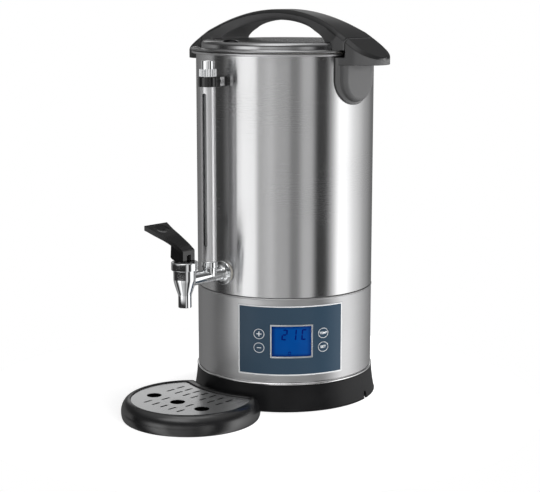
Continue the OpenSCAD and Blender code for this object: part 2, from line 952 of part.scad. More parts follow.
lever_z = 5.3;
function lever_top(t) = lever_z + lever_up * lookup(t, lever_path);
function lever_x(t) = block_half - lever_len * t;
function lever_half(t) = block_w / 2 + (lever_w - block_w) / 2 * pow(t, lever_flare);
function lever_section(t) =
    let (x = lever_x(t), w = lever_half(t), z = lever_top(t), e = lever_edge)
    [[x, w, z - lever_t], [x, w, z - e], [x, w - e, z], [x, e - w, z], [x, -w, z - e], [x, -w, z - lever_t]];
function under_lever(t, d) = [lever_x(t), lever_top(t) - d];

module tap_lever() {
    slot = stem_r + run;
    cam_turn = tilt_max + cam_past;
    color("#19191b")
    at_tap()
    translate([0, 0, pin_z])
    difference() {
        union() {
            loft([for (p = lever_path) lever_section(p[0])]);
            translate([0, block_w / 2, 0])
                rotate([90, 0, 0])
                linear_extrude(block_w)
                polygon(concat(
                    [[block_half, run - pin_h]],
                    [for (i = [0:8]) cam_point(cam_turn * i / 8)],
                    [under_lever(block_low, lever_t), under_lever(block_mid, lever_edge),
                     under_lever(block_high, lever_edge), under_lever(0, lever_edge / 2)]
                ));
        }
        slab(4 * block_half, -slot, slot, -2 * pin_h, 0);
        translate([0, slot, 0]) rotate([90, 0, 0]) cylinder(r = eye_r + run, h = 2 * slot);
        translate([0, block_w, 0]) rotate([90, 0, 0]) cylinder(r = pin_r + pin_fit / 2, h = 2 * block_w);
    }
}

module lever_pin() {
    color("#d5d7da")
    at_tap()
    translate([0, block_w / 2 - pin_short, pin_z])
    rotate([90, 0, 0])
    cylinder(r = pin_r, h = block_w - 2 * pin_short);
}

// Level gauge

shield_r = shield_d / 2;
shield_t = 1;
bracket_r = bracket_d / 2;
slot_low = 18;
slot_high = 7.5;
arm_w = 14;
clamp_t = 1.2;
clamp_w = 7.5;
clamp_y = gauge_r - bracket_r - clamp_w / 2;
clamp_inset = 0.4;
clamp_screw_r = 1.4;
clamp_screw_len = 4;
clamp_head_r = 2.6;
clamp_head_h = 1.6;
knurl_h = 9;
knurls = 24;
knurl_r = 1;
knurl_out = 0.5;
cap_z = bracket_z + bracket_h + run;
cap_edge = 0.7;
cap_neck = 1.8;
cap_taper = 0.7;
cap_round = 1.2;
cap_bore = 6;
glass_in_cap = 4;

module at_gauge() {
    translate([0, -gauge_r, 0]) children();
}

module gauge_tube() {
    color("#dfeef2", 0.5)
    at_gauge()
    translate([0, 0, shank_z + glass_seat + fit])
    tube(glass_r, glass_r - glass_wall, cap_z + glass_in_cap - shank_z - glass_seat - fit);
}

module gauge_seals() {
    color("#7d3b34")
    at_gauge() {
        for (z = [socket_top - gland_h, bracket_z + bracket_h - gland_h])
            translate([0, 0, z]) tube(glass_r + gland_w - pin_fit, glass_r + pin_fit, gland_seal_h);
    }
}

module gauge_shield() {
    z0 = socket_top + slot_low + slot_w / 2;
    z1 = bracket_z - slot_high - slot_w / 2;
    color("#d9dbde")
    at_gauge()
    difference() {
        translate([0, 0, socket_top]) tube(shield_r, shield_r - shield_t, shield_len);
        rotate(slot_az) {
            slab(slot_w, -2 * shield_r, 0, z0, z1);
            for (z = [z0, z1])
                translate([0, 0, z]) rotate([90, 0, 0]) cylinder(d = slot_w, h = 2 * shield_r);
        }
    }
}

module gauge_bracket() {
    color("#161618")
    difference() {
        union() {
            at_gauge() translate([0, 0, bracket_z]) cylinder(r = bracket_r, h = bracket_h);
            slab(arm_w, -gauge_r, 0, bracket_z, bracket_z + bracket_h);
        }
        translate([0, 0, bracket_z - cut]) cylinder(r = body_r + fit / 2, h = bracket_h + 2 * cut);
        at_gauge()
            translate([0, 0, bracket_z]) {
                translate([0, 0, -cut]) cylinder(r = glass_r + fit, h = bracket_h + 2 * cut);
                translate([0, 0, bracket_h - gland_h]) cylinder(r = glass_r + gland_w, h = bracket_h);
            }
        towards_tap(bracket_mid)
            translate([0, 0, wall_head])
            screw_hole(wall_screw_len + cut);
        translate([0, -clamp_y, bracket_mid])
            rotate([0, 90, 0])
            translate([0, 0, arm_w / 2 - clamp_screw_len])
            cylinder(r = clamp_screw_r + fit, h = arm_w);
    }
}

module clamp_plate() {
    color("#d0d2d5")
    difference() {
        translate([arm_w / 2, -clamp_y - clamp_w / 2 + clamp_t, bracket_z + clamp_inset])
            cube([clamp_t, clamp_w - clamp_t / 2, bracket_h - 2 * clamp_inset]);
        translate([0, -clamp_y, bracket_mid]) rotate([0, 90, 0]) cylinder(r = clamp_screw_r + fit, h = arm_w);
        at_gauge() translate([0, 0, bracket_z - cut]) cylinder(r = bracket_r + fit, h = bracket_h + 2 * cut);
    }
}

module bracket_screw() {
    tip = clamp_inset - clamp_t - clamp_screw_len;
    color("#b8babd")
    translate([arm_w / 2 + clamp_t, -clamp_y, bracket_mid])
    rotate([0, 90, 0])
    rotate_extrude()
    polygon([[0, tip], [clamp_screw_r, tip], [clamp_screw_r, 0], [clamp_head_r, 0],
             [clamp_head_r, clamp_head_h / 2], [clamp_head_r - clamp_head_h / 2, clamp_head_h],
             [0, clamp_head_h]]);
}

module gauge_cap() {
    cap_r = cap_d / 2;
    crown_r = cap_r - cap_neck;
    color("#e3e5e8")
    at_gauge()
    difference() {
        translate([0, 0, cap_z])
            rotate_extrude()
            polygon([[glass_r + run, 0], [cap_r - cap_edge, 0], [cap_r, cap_edge],
                     [cap_r, knurl_h - cap_edge], [cap_r - cap_edge, knurl_h], [crown_r, knurl_h],
                     [crown_r - cap_taper, cap_h - cap_round], [crown_r - cap_taper - cap_round, cap_h],
                     [0, cap_h], [0, cap_bore], [glass_r + run, cap_bore]]);
        for (i = [0:knurls - 1])
            rotate([0, 0, i * 360 / knurls])
            translate([cap_r + knurl_out, 0, cap_z - cut])
            cylinder(r = knurl_r, h = knurl_h + cut, $fn = 24);
    }
}

// Side grips

lip_drop = 13.8;
lip_z = rim_z - lip_drop;
lip_step = 0.5;
lip_crest = rim_z + arch_end - lip_step;
lip_fall = 22;
lip_root = -0.4;
lip_hollow = 0.16;
lip_straight = 0.32;
lip_turns = [lip_straight, 0.45, 0.57, 0.68, 0.78, 0.86];
lip_nose = [0.92, 0.965, 0.99, 1];
lip_tip = 0.045;
// Width and depth of the chamfer along the top of the arch and of the grips
top_edge = 6;
top_drop = 4.5;
nose_ease = 1.5;
bead_gap = 1.2;
bead_room = rim_z - bead_d - bead_gap;
boss_margin = 4;
boss_w = plate_w - 2 * boss_margin;
boss_proud = 10.5;
boss_r = body_r + boss_proud;
boss_sink = 6;
boss_root = body_r - boss_sink;
boss_edge = 2.5;
plate_drop = 62;
plate_low = rim_z - plate_drop;
boss_rise = 4;
boss_z = plate_low + boss_rise;

// The lip at a share u of its length: distance from the axis, half width and top
function lip_x(u) = grip_r + grip_len * u;
function lip_half(u) =
    let (e = max(0, (u - lip_straight) / (1 - lip_straight)))
    grip_w / 2 * max(lip_tip, sqrt(1 - e * e));
function lip_top(u) = lip_crest - lip_fall * u;
// A cross-section of the lip, drawn in by the wall where it is the hollow
function lip_section(u, inset = 0, low = 0) =
    let (x = lip_x(u), w = lip_half(u) - inset, top = lip_top(u) - inset,
         edge = min(top_edge, w / 2), side = top - top_drop + nose_ease * u)
    [[x, w, lip_z - low], [x, -w, lip_z - low], [x, -w, side],
     [x, edge - w, top], [x, w - edge, top], [x, w, side]];

// The outline of a plate on the wall with a round foot, as a slab between two distances from the axis
module tab(w, foot, top, x0, x1) {
    translate([x0, 0, 0])
    rotate([90, 0, 90])
    linear_extrude(x1 - x0)
    union() {
        translate([-w / 2, foot + w / 2]) square([w, top - foot - w / 2]);
        translate([0, foot + w / 2]) circle(d = w);
    }
}

module grip() {
    difference() {
        union() {
            loft([for (u = concat([lip_root], lip_turns, lip_nose)) lip_section(u)]);
            intersection() {
                tab(plate_w, plate_low, bead_room, 0, body_r + plate_t);
                translate([0, 0, plate_low - cut]) cylinder(r = body_r + plate_t, h = arch_top - plate_low);
            }
            tab(boss_w, boss_z, bead_room, boss_root, boss_r - boss_edge);
            hull() {
                tab(boss_w, boss_z, lip_z + cut, boss_r - 2 * boss_edge, boss_r - boss_edge, $fn = 32);
                tab(boss_w - 2 * boss_edge, boss_z + boss_edge, lip_z + cut,
                    boss_r - boss_edge, boss_r, $fn = 32);
            }
        }
        translate([0, 0, plate_low - 2 * cut]) cylinder(r = body_r + fit / 2, h = arch_top);
        translate([0, -grip_w, bead_room]) cube([grip_r, 2 * grip_w, arch_top]);
        loft([for (u = concat([lip_hollow], lip_turns)) lip_section(u, grip_wall, 2 * cut)]);
        at_angle(90)
            for (d = grip_screw_drops)
                towards_tap(rim_z - d)
                translate([0, 0, wall_head])
                screw_hole(wall_screw_len + cut);
    }
}

module grip_right() {
    color("#1b1b1d") grip();
}

module grip_left() {
    color("#1b1b1d") rotate([0, 0, 180]) grip();
}

// Lid

gasket_h = 1;
flange_z = rim_z + gasket_h;
flange_top = flange_z + sheet_t;
shoulder_r = tank_in + lid_over;
lid_fillet = 2.5;
lid_edge_r = 1.2;
plug_gap = 1.2;
plug_r = tank_in - plug_gap;
plug_top = flange_top + lid_fillet;
vent_inset = 5;
vent_y = shoulder_r - lid_round - vent_inset;
vent_w = 6;
gasket_in = 1.5;
gasket_out = 3;
lid_screw_inset = 25;
lid_screw_x = arch_r - lid_screw_inset;
lid_screw_y = 12;
lid_screw_len = 11;

// The lid's outside, raised by g, from its rim to its middle
function lid_outside(g) = concat(
    [[lid_r - lid_edge_r, flange_top + g]],
    arc([shoulder_r + lid_fillet, flange_top + lid_fillet], lid_fillet - g, -90, -180),
    arc([shoulder_r - lid_round, plateau_z - lid_round], lid_round + g, 0, 90),
    [[0, plateau_z + g]]
);

module at_lid_screws() {
    for (x = [-1, 1], y = [-1, 1])
        translate([x * lid_screw_x, y * lid_screw_y, plateau_z - sheet_t - screw_head_h]) children();
}

module lid_shell() {
    inside = lid_outside(-sheet_t);
    color("#d6d7d9")
    difference() {
        rotate_extrude() {
            polygon(concat(lid_outside(0), [for (i = [len(inside) - 1:-1:0]) inside[i]]));
            translate([lid_r - lid_edge_r, flange_top]) circle(r = lid_edge_r);
            polygon([[plug_r, rim_z - plug_depth], [plug_r, plug_top], [shoulder_r - sheet_t / 2, plug_top],
                     [shoulder_r - sheet_t / 2, plug_top + sheet_t], [plug_r - sheet_t, plug_top + sheet_t],
                     [plug_r - sheet_t, rim_z - plug_depth]]);
        }
        at_lid_screws() cylinder(r = screw_r + fit, h = 2 * screw_head_h);
        translate([0, -vent_y, plateau_z - 2 * sheet_t]) {
            slab(vent_len - vent_w, -vent_w / 2, vent_w / 2, 0, 4 * sheet_t);
            for (x = [-1, 1])
                translate([x * (vent_len - vent_w) / 2, 0, 0]) cylinder(d = vent_w, h = 4 * sheet_t);
        }
    }
}

module lid_gasket() {
    color("#c9c4ba")
    translate([0, 0, rim_z + pin_fit])
    tube(bead_c - gasket_out, tank_in + gasket_in, gasket_h - pin_fit);
}

arch_bend = (arch_r * arch_r + pow(arch_rise - arch_end, 2)) / (2 * (arch_rise - arch_end));
gap_half = arch_r - arch_foot;
gap_bow = 0.75;
gap_ease = 2.5;
gap_steps = 16;
gap_turn = 87;

function arch_top_z(x) = arch_top - arch_bend + sqrt(arch_bend * arch_bend - x * x);
function arch_low_z(x) = plateau_z + finger_h * pow(1 - pow(x / gap_half, 2), gap_bow);
function arch_half(x) = grip_w / 2 - (grip_w - waist_w) / 2 * pow(max(0, 1 - pow(x / arch_r, 2)), 2);
function arch_section(x, low) =
    let (w = arch_half(x), top = arch_top_z(x), side = top - top_drop)
    [[x, w - gap_ease, low], [x, gap_ease - w, low], [x, -w, low + gap_ease], [x, -w, side],
     [x, top_edge - w, top], [x, w - top_edge, top], [x, w, side], [x, w, low + gap_ease]];

module lid_handle() {
    turns = [for (i = [0:gap_steps]) gap_half * sin(gap_turn * (2 * i / gap_steps - 1))];
    feet = [for (i = [0:2]) arch_r - arch_foot * i / 2];
    lid_seat = lid_outside(fit);
    roll_top = flange_top + lid_edge_r + fit;
    roll_in = lid_r - 2 * lid_edge_r - fit;
    color("#1b1b1d")
    difference() {
        loft(concat(
            [for (x = feet) arch_section(-x, rim_z)],
            [for (x = turns) arch_section(x, arch_low_z(x))],
            [for (i = [2:-1:0]) arch_section(feet[i], rim_z)]
        ));
        rotate_extrude()
            polygon(concat(
                [for (i = [1:len(lid_seat) - 1]) lid_seat[i]],
                [[0, rim_z - cut], [2 * arch_r, rim_z - cut], [2 * arch_r, roll_top],
                 [roll_in, roll_top], [roll_in, flange_top + fit]]
            ));
        at_lid_screws() cylinder(r = screw_r + fit, h = screw_head_h + lid_screw_len + cut);
    }
}

module lid_screws() {
    color("#b8b8b8") at_lid_screws() pan_screw(lid_screw_len);
}

// Drip tray and grille

tray_c = body_r + tray_reach;
nest_r = base_foot_r + tray_gap;
tray_corner = tray_round + 1;
corner_step = 0.03;
tray_floor = 3;
grille_z = tray_h - grille_drop - grille_t;
grille_r = tray_r - tray_rim;
grille_nest = nest_r + tray_band;
grille_corner = 7;
ledge = 3;
hole_past_tap = 14;
hole_row = tap_r + hole_past_tap;
near_row = 11;
far_row = 28;
row_past_holes = 22;
// Distances of the rows of slots from the axis, and slots to each side of the middle one
slit_rows = [
    [grille_nest + near_row, 3],
    [grille_nest + far_row, 3],
    [hole_row + row_past_holes, 2]
];
foot_step = 1;

// The centre of the round corner between a disc about the tray's middle and the nest for the base
function corner_at(r_out, r_in, f) =
    let (a = r_in + f, b = r_out - f, y = (a * a + tray_c * tray_c - b * b) / (2 * tray_c))
    [sqrt(a * a - y * y), -y];

// The wedge of a corner, from its centre to past its tip
module corner_wedge(f_at, reach) {
    outwards = (f_at + [0, tray_c]) / norm(f_at + [0, tray_c]);
    inwards = -f_at / norm(f_at);
    polygon([f_at, f_at + reach * outwards, f_at + 2 * reach * (outwards + inwards), f_at + reach * inwards]);
}

// A disc with a bite for the base, round at its two corners
module bitten_disc(r_out, r_in, f) {
    at = corner_at(r_out, r_in, f);
    difference() {
        translate([0, -tray_c]) circle(r = r_out);
        circle(r = r_in);
        for (s = [0, 1]) mirror([s, 0]) corner_wedge(at, 4 * f);
    }
    for (s = [0, 1])
        mirror([s, 0])
        intersection() {
            translate(at) circle(r = f - corner_step);
            corner_wedge(at, 4 * f);
        }
}

// A half profile of an edge that is round at the top
function round_edge(r, h, e) =
    concat([[0, 0], [r - foot_step, 0], [r, foot_step]], arc([r - e, h - e], e, 0, 90), [[0, h]]);

module tray_block() {
    at = corner_at(tray_r, nest_r, tray_corner);
    difference() {
        translate([0, -tray_c, 0]) rotate_extrude() polygon(round_edge(tray_r, tray_h, tray_round));
        rotate_extrude()
            polygon(concat(
                [[0, -cut], [nest_r + foot_step, -cut], [nest_r + foot_step, 0], [nest_r, foot_step]],
                arc([nest_r + tray_round, tray_h - tray_round], tray_round, 180, 90),
                [[nest_r + tray_round, tray_h + cut], [0, tray_h + cut]]
            ));
        for (s = [0, 1])
            mirror([s, 0, 0])
            translate([0, 0, -cut])
            linear_extrude(tray_h + 2 * cut)
            corner_wedge(at, 4 * tray_corner);
    }
    for (s = [0, 1])
        mirror([s, 0, 0])
        intersection() {
            translate([at[0], at[1], 0])
                rotate_extrude()
                polygon(round_edge(
                    tray_corner - corner_step, tray_h - corner_step, tray_round - corner_step
                ));
            translate([0, 0, -cut]) linear_extrude(tray_h + 2 * cut) corner_wedge(at, 4 * tray_corner);
        }
}

module drip_tray() {
    color("#1a1a1c")
    difference() {
        tray_block();
        translate([0, 0, grille_z - fit])
            linear_extrude(tray_h)
            bitten_disc(grille_r + run, grille_nest - run, grille_corner + run);
        translate([0, 0, tray_floor])
            linear_extrude(tray_h)
            bitten_disc(grille_r - ledge, grille_nest + ledge, grille_corner - ledge / 2);
    }
}

module slit(x, y) {
    translate([x, y]) {
        square([slit_w, slit_len - slit_w], center = true);
        for (e = [-1, 1]) translate([0, e * (slit_len - slit_w) / 2]) circle(d = slit_w);
    }
}

module drip_grille() {
    color("#c4c6c8")
    translate([0, 0, grille_z])
    linear_extrude(grille_t)
    difference() {
        bitten_disc(grille_r, grille_nest, grille_corner);
        for (i = [-1:1]) translate([i * hole_pitch, -hole_row]) circle(d = hole_d);
        for (row = slit_rows, i = [-row[1]:row[1]]) slit(i * slit_pitch, -row[0]);
        for (s = [-1, 1]) slit(s * hole_pitch / 2, -hole_row);
    }
}

base_housing();
base_plate();
foot_ring();
base_screws();
trim_ring();
power_inlet();
inlet_pins();
lower_skirt();
panel_fascia();
display_bezel();
display_screen();
display_module();
control_board();
key_up();
key_down();
key_menu();
key_start();
outer_wall();
wall_screws();
tank();
heater_plate();
heating_element();
thermal_cutout();
temperature_probe();
tap_shank();
shank_nut();
shank_seals();
tap_body();
tap_bonnet();
tap_spring();
cam_washer();
tap_stem();
seat_cup();
tap_lever();
lever_pin();
gauge_tube();
gauge_seals();
gauge_shield();
gauge_bracket();
clamp_plate();
bracket_screw();
gauge_cap();
grip_right();
grip_left();
lid_shell();
lid_gasket();
lid_handle();
lid_screws();
drip_tray();
drip_grille();
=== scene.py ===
"""An electric coffee urn: brushed steel body, moulded handles, lever tap, level gauge, key panel, drip tray.

Sizes are in millimetres and are turned into metres where a mesh is made.
"""
import json
import math

import bmesh
import bpy
from mathutils import Matrix, Vector


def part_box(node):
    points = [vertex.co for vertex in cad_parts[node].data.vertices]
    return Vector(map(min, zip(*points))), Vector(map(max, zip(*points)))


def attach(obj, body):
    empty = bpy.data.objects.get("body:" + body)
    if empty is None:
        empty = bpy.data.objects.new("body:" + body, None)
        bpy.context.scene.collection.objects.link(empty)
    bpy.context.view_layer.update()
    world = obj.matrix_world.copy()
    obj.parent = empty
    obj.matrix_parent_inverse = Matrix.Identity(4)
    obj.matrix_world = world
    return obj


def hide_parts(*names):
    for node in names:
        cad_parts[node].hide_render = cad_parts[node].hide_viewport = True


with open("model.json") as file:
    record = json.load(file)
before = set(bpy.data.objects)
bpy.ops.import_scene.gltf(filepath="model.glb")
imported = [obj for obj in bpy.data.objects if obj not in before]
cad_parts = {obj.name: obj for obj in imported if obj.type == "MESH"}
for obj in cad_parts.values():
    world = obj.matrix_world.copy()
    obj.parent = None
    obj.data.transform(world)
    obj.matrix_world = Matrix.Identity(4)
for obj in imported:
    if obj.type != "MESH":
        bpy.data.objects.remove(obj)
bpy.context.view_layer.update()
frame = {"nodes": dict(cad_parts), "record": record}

MM = 0.001
TURN = 2 * math.pi


def low(node):
    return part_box(node)[0] / MM


def high(node):
    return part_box(node)[1] / MM


def span(node):
    return high(node) - low(node)


def middle(node):
    return (low(node) + high(node)) / 2


# Sizes that the frame gives

BODY_R = span("outer_wall").x / 2
WALL_Z = low("outer_wall").z
WALL_TOP = high("outer_wall").z
RIM_Z = high("tank").z
RIM_R = span("tank").x / 2
SKIRT_Z = low("lower_skirt").z
SKIRT_TOP = high("lower_skirt").z
BASE_Z = low("base_housing").z
BASE_TOP = high("base_housing").z
BASE_R = span("base_housing").x / 2
TAP_Y = middle("tap_bonnet").y
TAP_TOP = high("tap_bonnet").z
HEAD_Z = low("tap_bonnet").z
SPOUT_Z = low("tap_body").z
GAUGE_Y = middle("gauge_shield").y
GAUGE_R = span("gauge_shield").x / 2
GAUGE_Z = low("gauge_shield").z
GAUGE_TOP = high("gauge_shield").z
LID_R = span("lid_shell").x / 2
PLATEAU_Z = high("lid_shell").z
ARCH_R = span("lid_handle").x / 2
ARCH_TOP = high("lid_handle").z
DISPLAY_Z = low("display_bezel").z
DISPLAY_TOP = high("display_bezel").z
TRAY_H = high("drip_tray").z
GRILLE_Z = low("drip_grille").z

# Sizes that several pieces share

ROUND = 160
SHEET = 0.8
TRIM_TOP = BASE_TOP + 3
TANK_R = BODY_R - SHEET - 6
FLANGE_R = 14.75
SHANK_Z = low("tap_shank").z + FLANGE_R
GAUGE_AXIS = (0, GAUGE_Y)
TAP_AXIS = (0, TAP_Y)


# Mesh helpers

def arc(centre, r, a, b, n=8):
    """Points on an arc about a centre, with angles in degrees."""
    turns = [math.radians(a + (b - a) * i / n) for i in range(n + 1)]
    return [(centre[0] + r * math.cos(t), centre[1] + r * math.sin(t)) for t in turns]


def grid_faces(rows, cols, close_rows=False, close_cols=True):
    """Quads between neighbouring rows of points."""
    faces = []
    for i in range(rows if close_rows else rows - 1):
        for j in range(cols if close_cols else cols - 1):
            k, m = (i + 1) % rows, (j + 1) % cols
            faces.append((i * cols + j, i * cols + m, k * cols + m, k * cols + j))
    return faces


def revolve(profile, at=(0, 0), steps=ROUND, closed=True):
    """A profile of (radius, height) points turned about an upright axis."""
    verts = [
        (at[0] + r * math.cos(TURN * j / steps), at[1] + r * math.sin(TURN * j / steps), z)
        for r, z in profile for j in range(steps)
    ]
    return verts, grid_faces(len(profile), steps, close_rows=closed)


def rod(r, z0, z1, at=(0, 0), steps=ROUND):
    """A plain upright cylinder."""
    return revolve([(0, z0), (r, z0), (r, z1), (0, z1)], at, steps, closed=False)


def loft(sections):
    """A closed skin through sections that have the same number of points."""
    n = len(sections[0])
    verts = [p for s in sections for p in s]
    faces = grid_faces(len(sections), n)
    last = (len(sections) - 1) * n
    return verts, faces + [tuple(range(n)), tuple(range(last, last + n))]


def prism(outline, z0, z1):
    """An outline of (x, y) points between two heights."""
    return loft([[(x, y, z) for x, y in outline] for z in (z0, z1)])


def box(x0, x1, y0, y1, z0, z1):
    return prism(bar(x0, x1, y0, y1), z0, z1)


def bar(x0, x1, y0, y1):
    """The outline of an oblong."""
    return [(x0, y0), (x1, y0), (x1, y1), (x0, y1)]


def merged(shapes):
    """Several shapes as one."""
    verts, faces = [], []
    for more_verts, more_faces in shapes:
        base = len(verts)
        verts += more_verts
        faces += [tuple(base + k for k in face) for face in more_faces]
    return verts, faces


def moved(shape, matrix):
    verts, faces = shape
    return [tuple(matrix @ Vector(v)) for v in verts], faces


def along_tap(shape, z=SHANK_Z, angle=0.0):
    """Turns a shape's +Z outwards, towards the tap or an angle from it, at a height."""
    place = Matrix.Rotation(angle, 4, "Z") @ Matrix.Translation((0, 0, z))
    return moved(shape, place @ Matrix.Rotation(math.radians(90), 4, "X"))


def new_object(name, data):
    """An object in the scene, at the origin."""
    made = bpy.data.objects.new(name, data)
    bpy.context.scene.collection.objects.link(made)
    return made


def shape_object(name, shape):
    """A mesh object with merged points and outward faces."""
    verts, faces = shape
    mesh = raw_mesh(name, verts, faces=faces)
    tidy_mesh(mesh)
    return new_object(name, mesh)


def raw_mesh(name, verts, edges=(), faces=()):
    mesh = bpy.data.meshes.new(name)
    mesh.from_pydata([[c * MM for c in v] for v in verts], edges, faces)
    return mesh


def tidy_mesh(mesh):
    bm = bmesh.new()
    bm.from_mesh(mesh)
    bmesh.ops.remove_doubles(bm, verts=bm.verts, dist=0.004 * MM)
    bmesh.ops.dissolve_degenerate(bm, edges=bm.edges, dist=0.001 * MM)
    bmesh.ops.recalc_face_normals(bm, faces=bm.faces)
    bm.to_mesh(mesh)
    bm.free()


def baked_mesh(made):
    """A plain mesh of what an object and its modifiers make."""
    view = bpy.context.evaluated_depsgraph_get()
    return bpy.data.meshes.new_from_object(made.evaluated_get(view))


def bake(made):
    """Turns an object and its modifiers into a plain mesh."""
    mesh = baked_mesh(made)
    made.modifiers.clear()
    made.data = mesh


def modify(made, kind, **settings):
    """Runs one modifier and bakes it."""
    step = made.modifiers.new(kind.lower(), kind)
    for name, value in settings.items():
        setattr(step, name, value)
    bake(made)


def combine(made, other, operation):
    """Runs one boolean step with another object, which is used up."""
    modify(made, "BOOLEAN", object=other, operation=operation, solver="EXACT")
    bpy.data.objects.remove(other)


def cut(made, *tools, operation="DIFFERENCE"):
    """Takes the tools out of an object, or joins or keeps what they share."""
    for tool in tools:
        combine(made, shape_object("cutter", tool), operation)


def join(made, *tools):
    cut(made, *tools, operation="UNION")


def bevel(made, width, segments, angle):
    modify(made, "BEVEL", width=width * MM, segments=segments, limit_method="ANGLE",
           angle_limit=math.radians(angle), use_clamp_overlap=True)


def melt(made, voxel, passes):
    """Rounds all edges the way a mould does: an even mesh, then a few smoothing passes."""
    modify(made, "REMESH", mode="VOXEL", voxel_size=voxel * MM)
    modify(made, "SMOOTH", factor=0.5, iterations=passes)


def dress(made, body, material, *nodes, slot, sharp=35):
    """Gives a piece its shading, finish and body, and hides the nodes it stands for."""
    mesh = made.data
    mesh.polygons.foreach_set("use_smooth", [True] * len(mesh.polygons))
    mesh.set_sharp_from_angle(angle=math.radians(sharp))
    mesh.materials.clear()
    mesh.materials.append(material)
    modify(made, "WEIGHTED_NORMAL", weight=80, keep_sharp=True)
    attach(made, body)
    if nodes:
        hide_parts(*nodes)


def turned(name, profile, material, node, slot, at=(0, 0), steps=ROUND, closed=True, sharp=35):
    """A piece of the urn that is turned from a profile and needs no other work."""
    made = shape_object(name, revolve(profile, at, steps, closed))
    dress(made, "urn", material, node, slot=slot, sharp=sharp)


# Node helpers

def add_node(tree, kind, *inputs, operation=None):
    """A node whose first inputs take sockets or plain numbers in order."""
    made = tree.nodes.new(kind)
    if operation:
        made.operation = operation
    for k, value in enumerate(inputs):
        if isinstance(value, (int, float)):
            made.inputs[k].default_value = value
        elif value is not None:
            tree.links.new(value, made.inputs[k])
    return made


def fill_ramp(band, stops):
    """Sets the stops of a colour ramp, which come in rising order."""
    for element, (at, colour) in ((band.elements[0], stops[0]), (band.elements[1], stops[-1])):
        element.position = at
        element.color = (*colour, 1)
    for at, colour in stops[1:-1]:
        band.elements.new(at).color = (*colour, 1)


class Finish:
    """A material whose colour, roughness and relief come from nodes."""

    def __init__(self, name, colour, rough, metal=0.0, **sockets):
        self.material = bpy.data.materials.new(name)
        self.material.use_nodes = True
        self.tree = self.material.node_tree
        self.shader = self.tree.nodes["Principled BSDF"]
        self.shader.inputs["Base Color"].default_value = (*colour, 1)
        self.shader.inputs["Roughness"].default_value = rough
        self.shader.inputs["Metallic"].default_value = metal
        for socket, value in sockets.items():
            self.shader.inputs[socket.replace("_", " ")].default_value = value

    def node(self, kind, **inputs):
        made = self.tree.nodes.new(kind)
        for name, value in inputs.items():
            made.inputs[name.replace("_", " ")].default_value = value
        return made

    def link(self, out, into):
        self.tree.links.new(out, into)

    def maths(self, operation, *values):
        return add_node(self.tree, "ShaderNodeMath", *values, operation=operation).outputs[0]

    def parts(self, vector):
        """The X, Y and Z of a vector."""
        return add_node(self.tree, "ShaderNodeSeparateXYZ", vector).outputs

    def place(self, scale=(1, 1, 1)):
        """Object coordinates, stretched."""
        where = self.node("ShaderNodeTexCoord")
        mapping = self.node("ShaderNodeMapping", Scale=scale)
        self.link(where.outputs["Object"], mapping.inputs["Vector"])
        return mapping.outputs["Vector"]

    def noise(self, vector, scale, detail=3.0, rough=0.5):
        made = self.node("ShaderNodeTexNoise", Scale=scale, Detail=detail, Roughness=rough)
        self.link(vector, made.inputs["Vector"])
        return made.outputs["Fac"]

    def span(self, value, *limits):
        """A value carried from one range, its first two limits, into another, the last two."""
        return add_node(self.tree, "ShaderNodeMapRange", value, *limits).outputs["Result"]

    def ramp(self, value, *stops):
        made = self.node("ShaderNodeValToRGB")
        fill_ramp(made.color_ramp, stops)
        self.link(value, made.inputs["Fac"])
        return made.outputs["Color"]

    def colour(self, out):
        self.link(out, self.shader.inputs["Base Color"])

    def rough(self, out):
        self.link(out, self.shader.inputs["Roughness"])

    def relief(self, out, height, strength):
        made = self.node("ShaderNodeBump", Strength=strength, Distance=height * MM)
        self.link(out, made.inputs["Height"])
        self.link(made.outputs["Normal"], self.shader.inputs["Normal"])


class Pattern:
    """A geometry node tree with named inputs, run on one object and turned into a plain mesh."""

    def __init__(self, name, material):
        self.tree = bpy.data.node_groups.new(name, "GeometryNodeTree")
        for way in ("INPUT", "OUTPUT"):
            self.tree.interface.new_socket("Geometry", in_out=way, socket_type="NodeSocketGeometry")
        self.start = self.tree.nodes.new("NodeGroupInput")
        self.given = self.start.outputs["Geometry"]
        self.material = material
        self.values = {}

    def size(self, name, value, kind="NodeSocketFloat"):
        """A named input and its value; gives the socket to link from."""
        made = self.tree.interface.new_socket(name, in_out="INPUT", socket_type=kind)
        self.values[made.identifier] = value
        return self.start.outputs[name]

    def node(self, kind, links=None, **values):
        made = self.tree.nodes.new("GeometryNode" + kind)
        for name, value in values.items():
            made.inputs[name.replace("_", " ")].default_value = value
        for name, out in (links or {}).items():
            self.tree.links.new(out, made.inputs[name])
        return made

    def feed(self, socket, *outs):
        for out in outs:
            self.tree.links.new(out, socket)

    def joined(self, *outs):
        """One geometry out of several."""
        made = self.node("JoinGeometry")
        self.feed(made.inputs["Geometry"], *outs)
        return made.outputs["Geometry"]

    def shifted(self, out, x, y, z):
        made = self.node("Transform", {"Geometry": out}, Translation=Vector((x, y, z)) * MM)
        return made.outputs["Geometry"]

    def copies(self, points, shape):
        """A copy of a shape on each point."""
        return self.node("InstanceOnPoints", {"Points": points, "Instance": shape}).outputs["Instances"]

    def run(self, made, geometry):
        real = self.node("RealizeInstances", {"Geometry": geometry})
        coat = self.node("SetMaterial", {"Geometry": real.outputs["Geometry"]}, Material=self.material)
        end = self.tree.nodes.new("NodeGroupOutput")
        self.tree.links.new(coat.outputs["Geometry"], end.inputs["Geometry"])
        step = made.modifiers.new("pattern", "NODES")
        step.node_group = self.tree
        for identifier, value in self.values.items():
            step[identifier] = value
        bake(made)


# Finishes

GRAIN = 1400
GRAIN_H = 0.012
RING_LINES = (22, 22, 5200)


def shade(colour, k):
    return tuple(min(1.0, c * k) for c in colour)


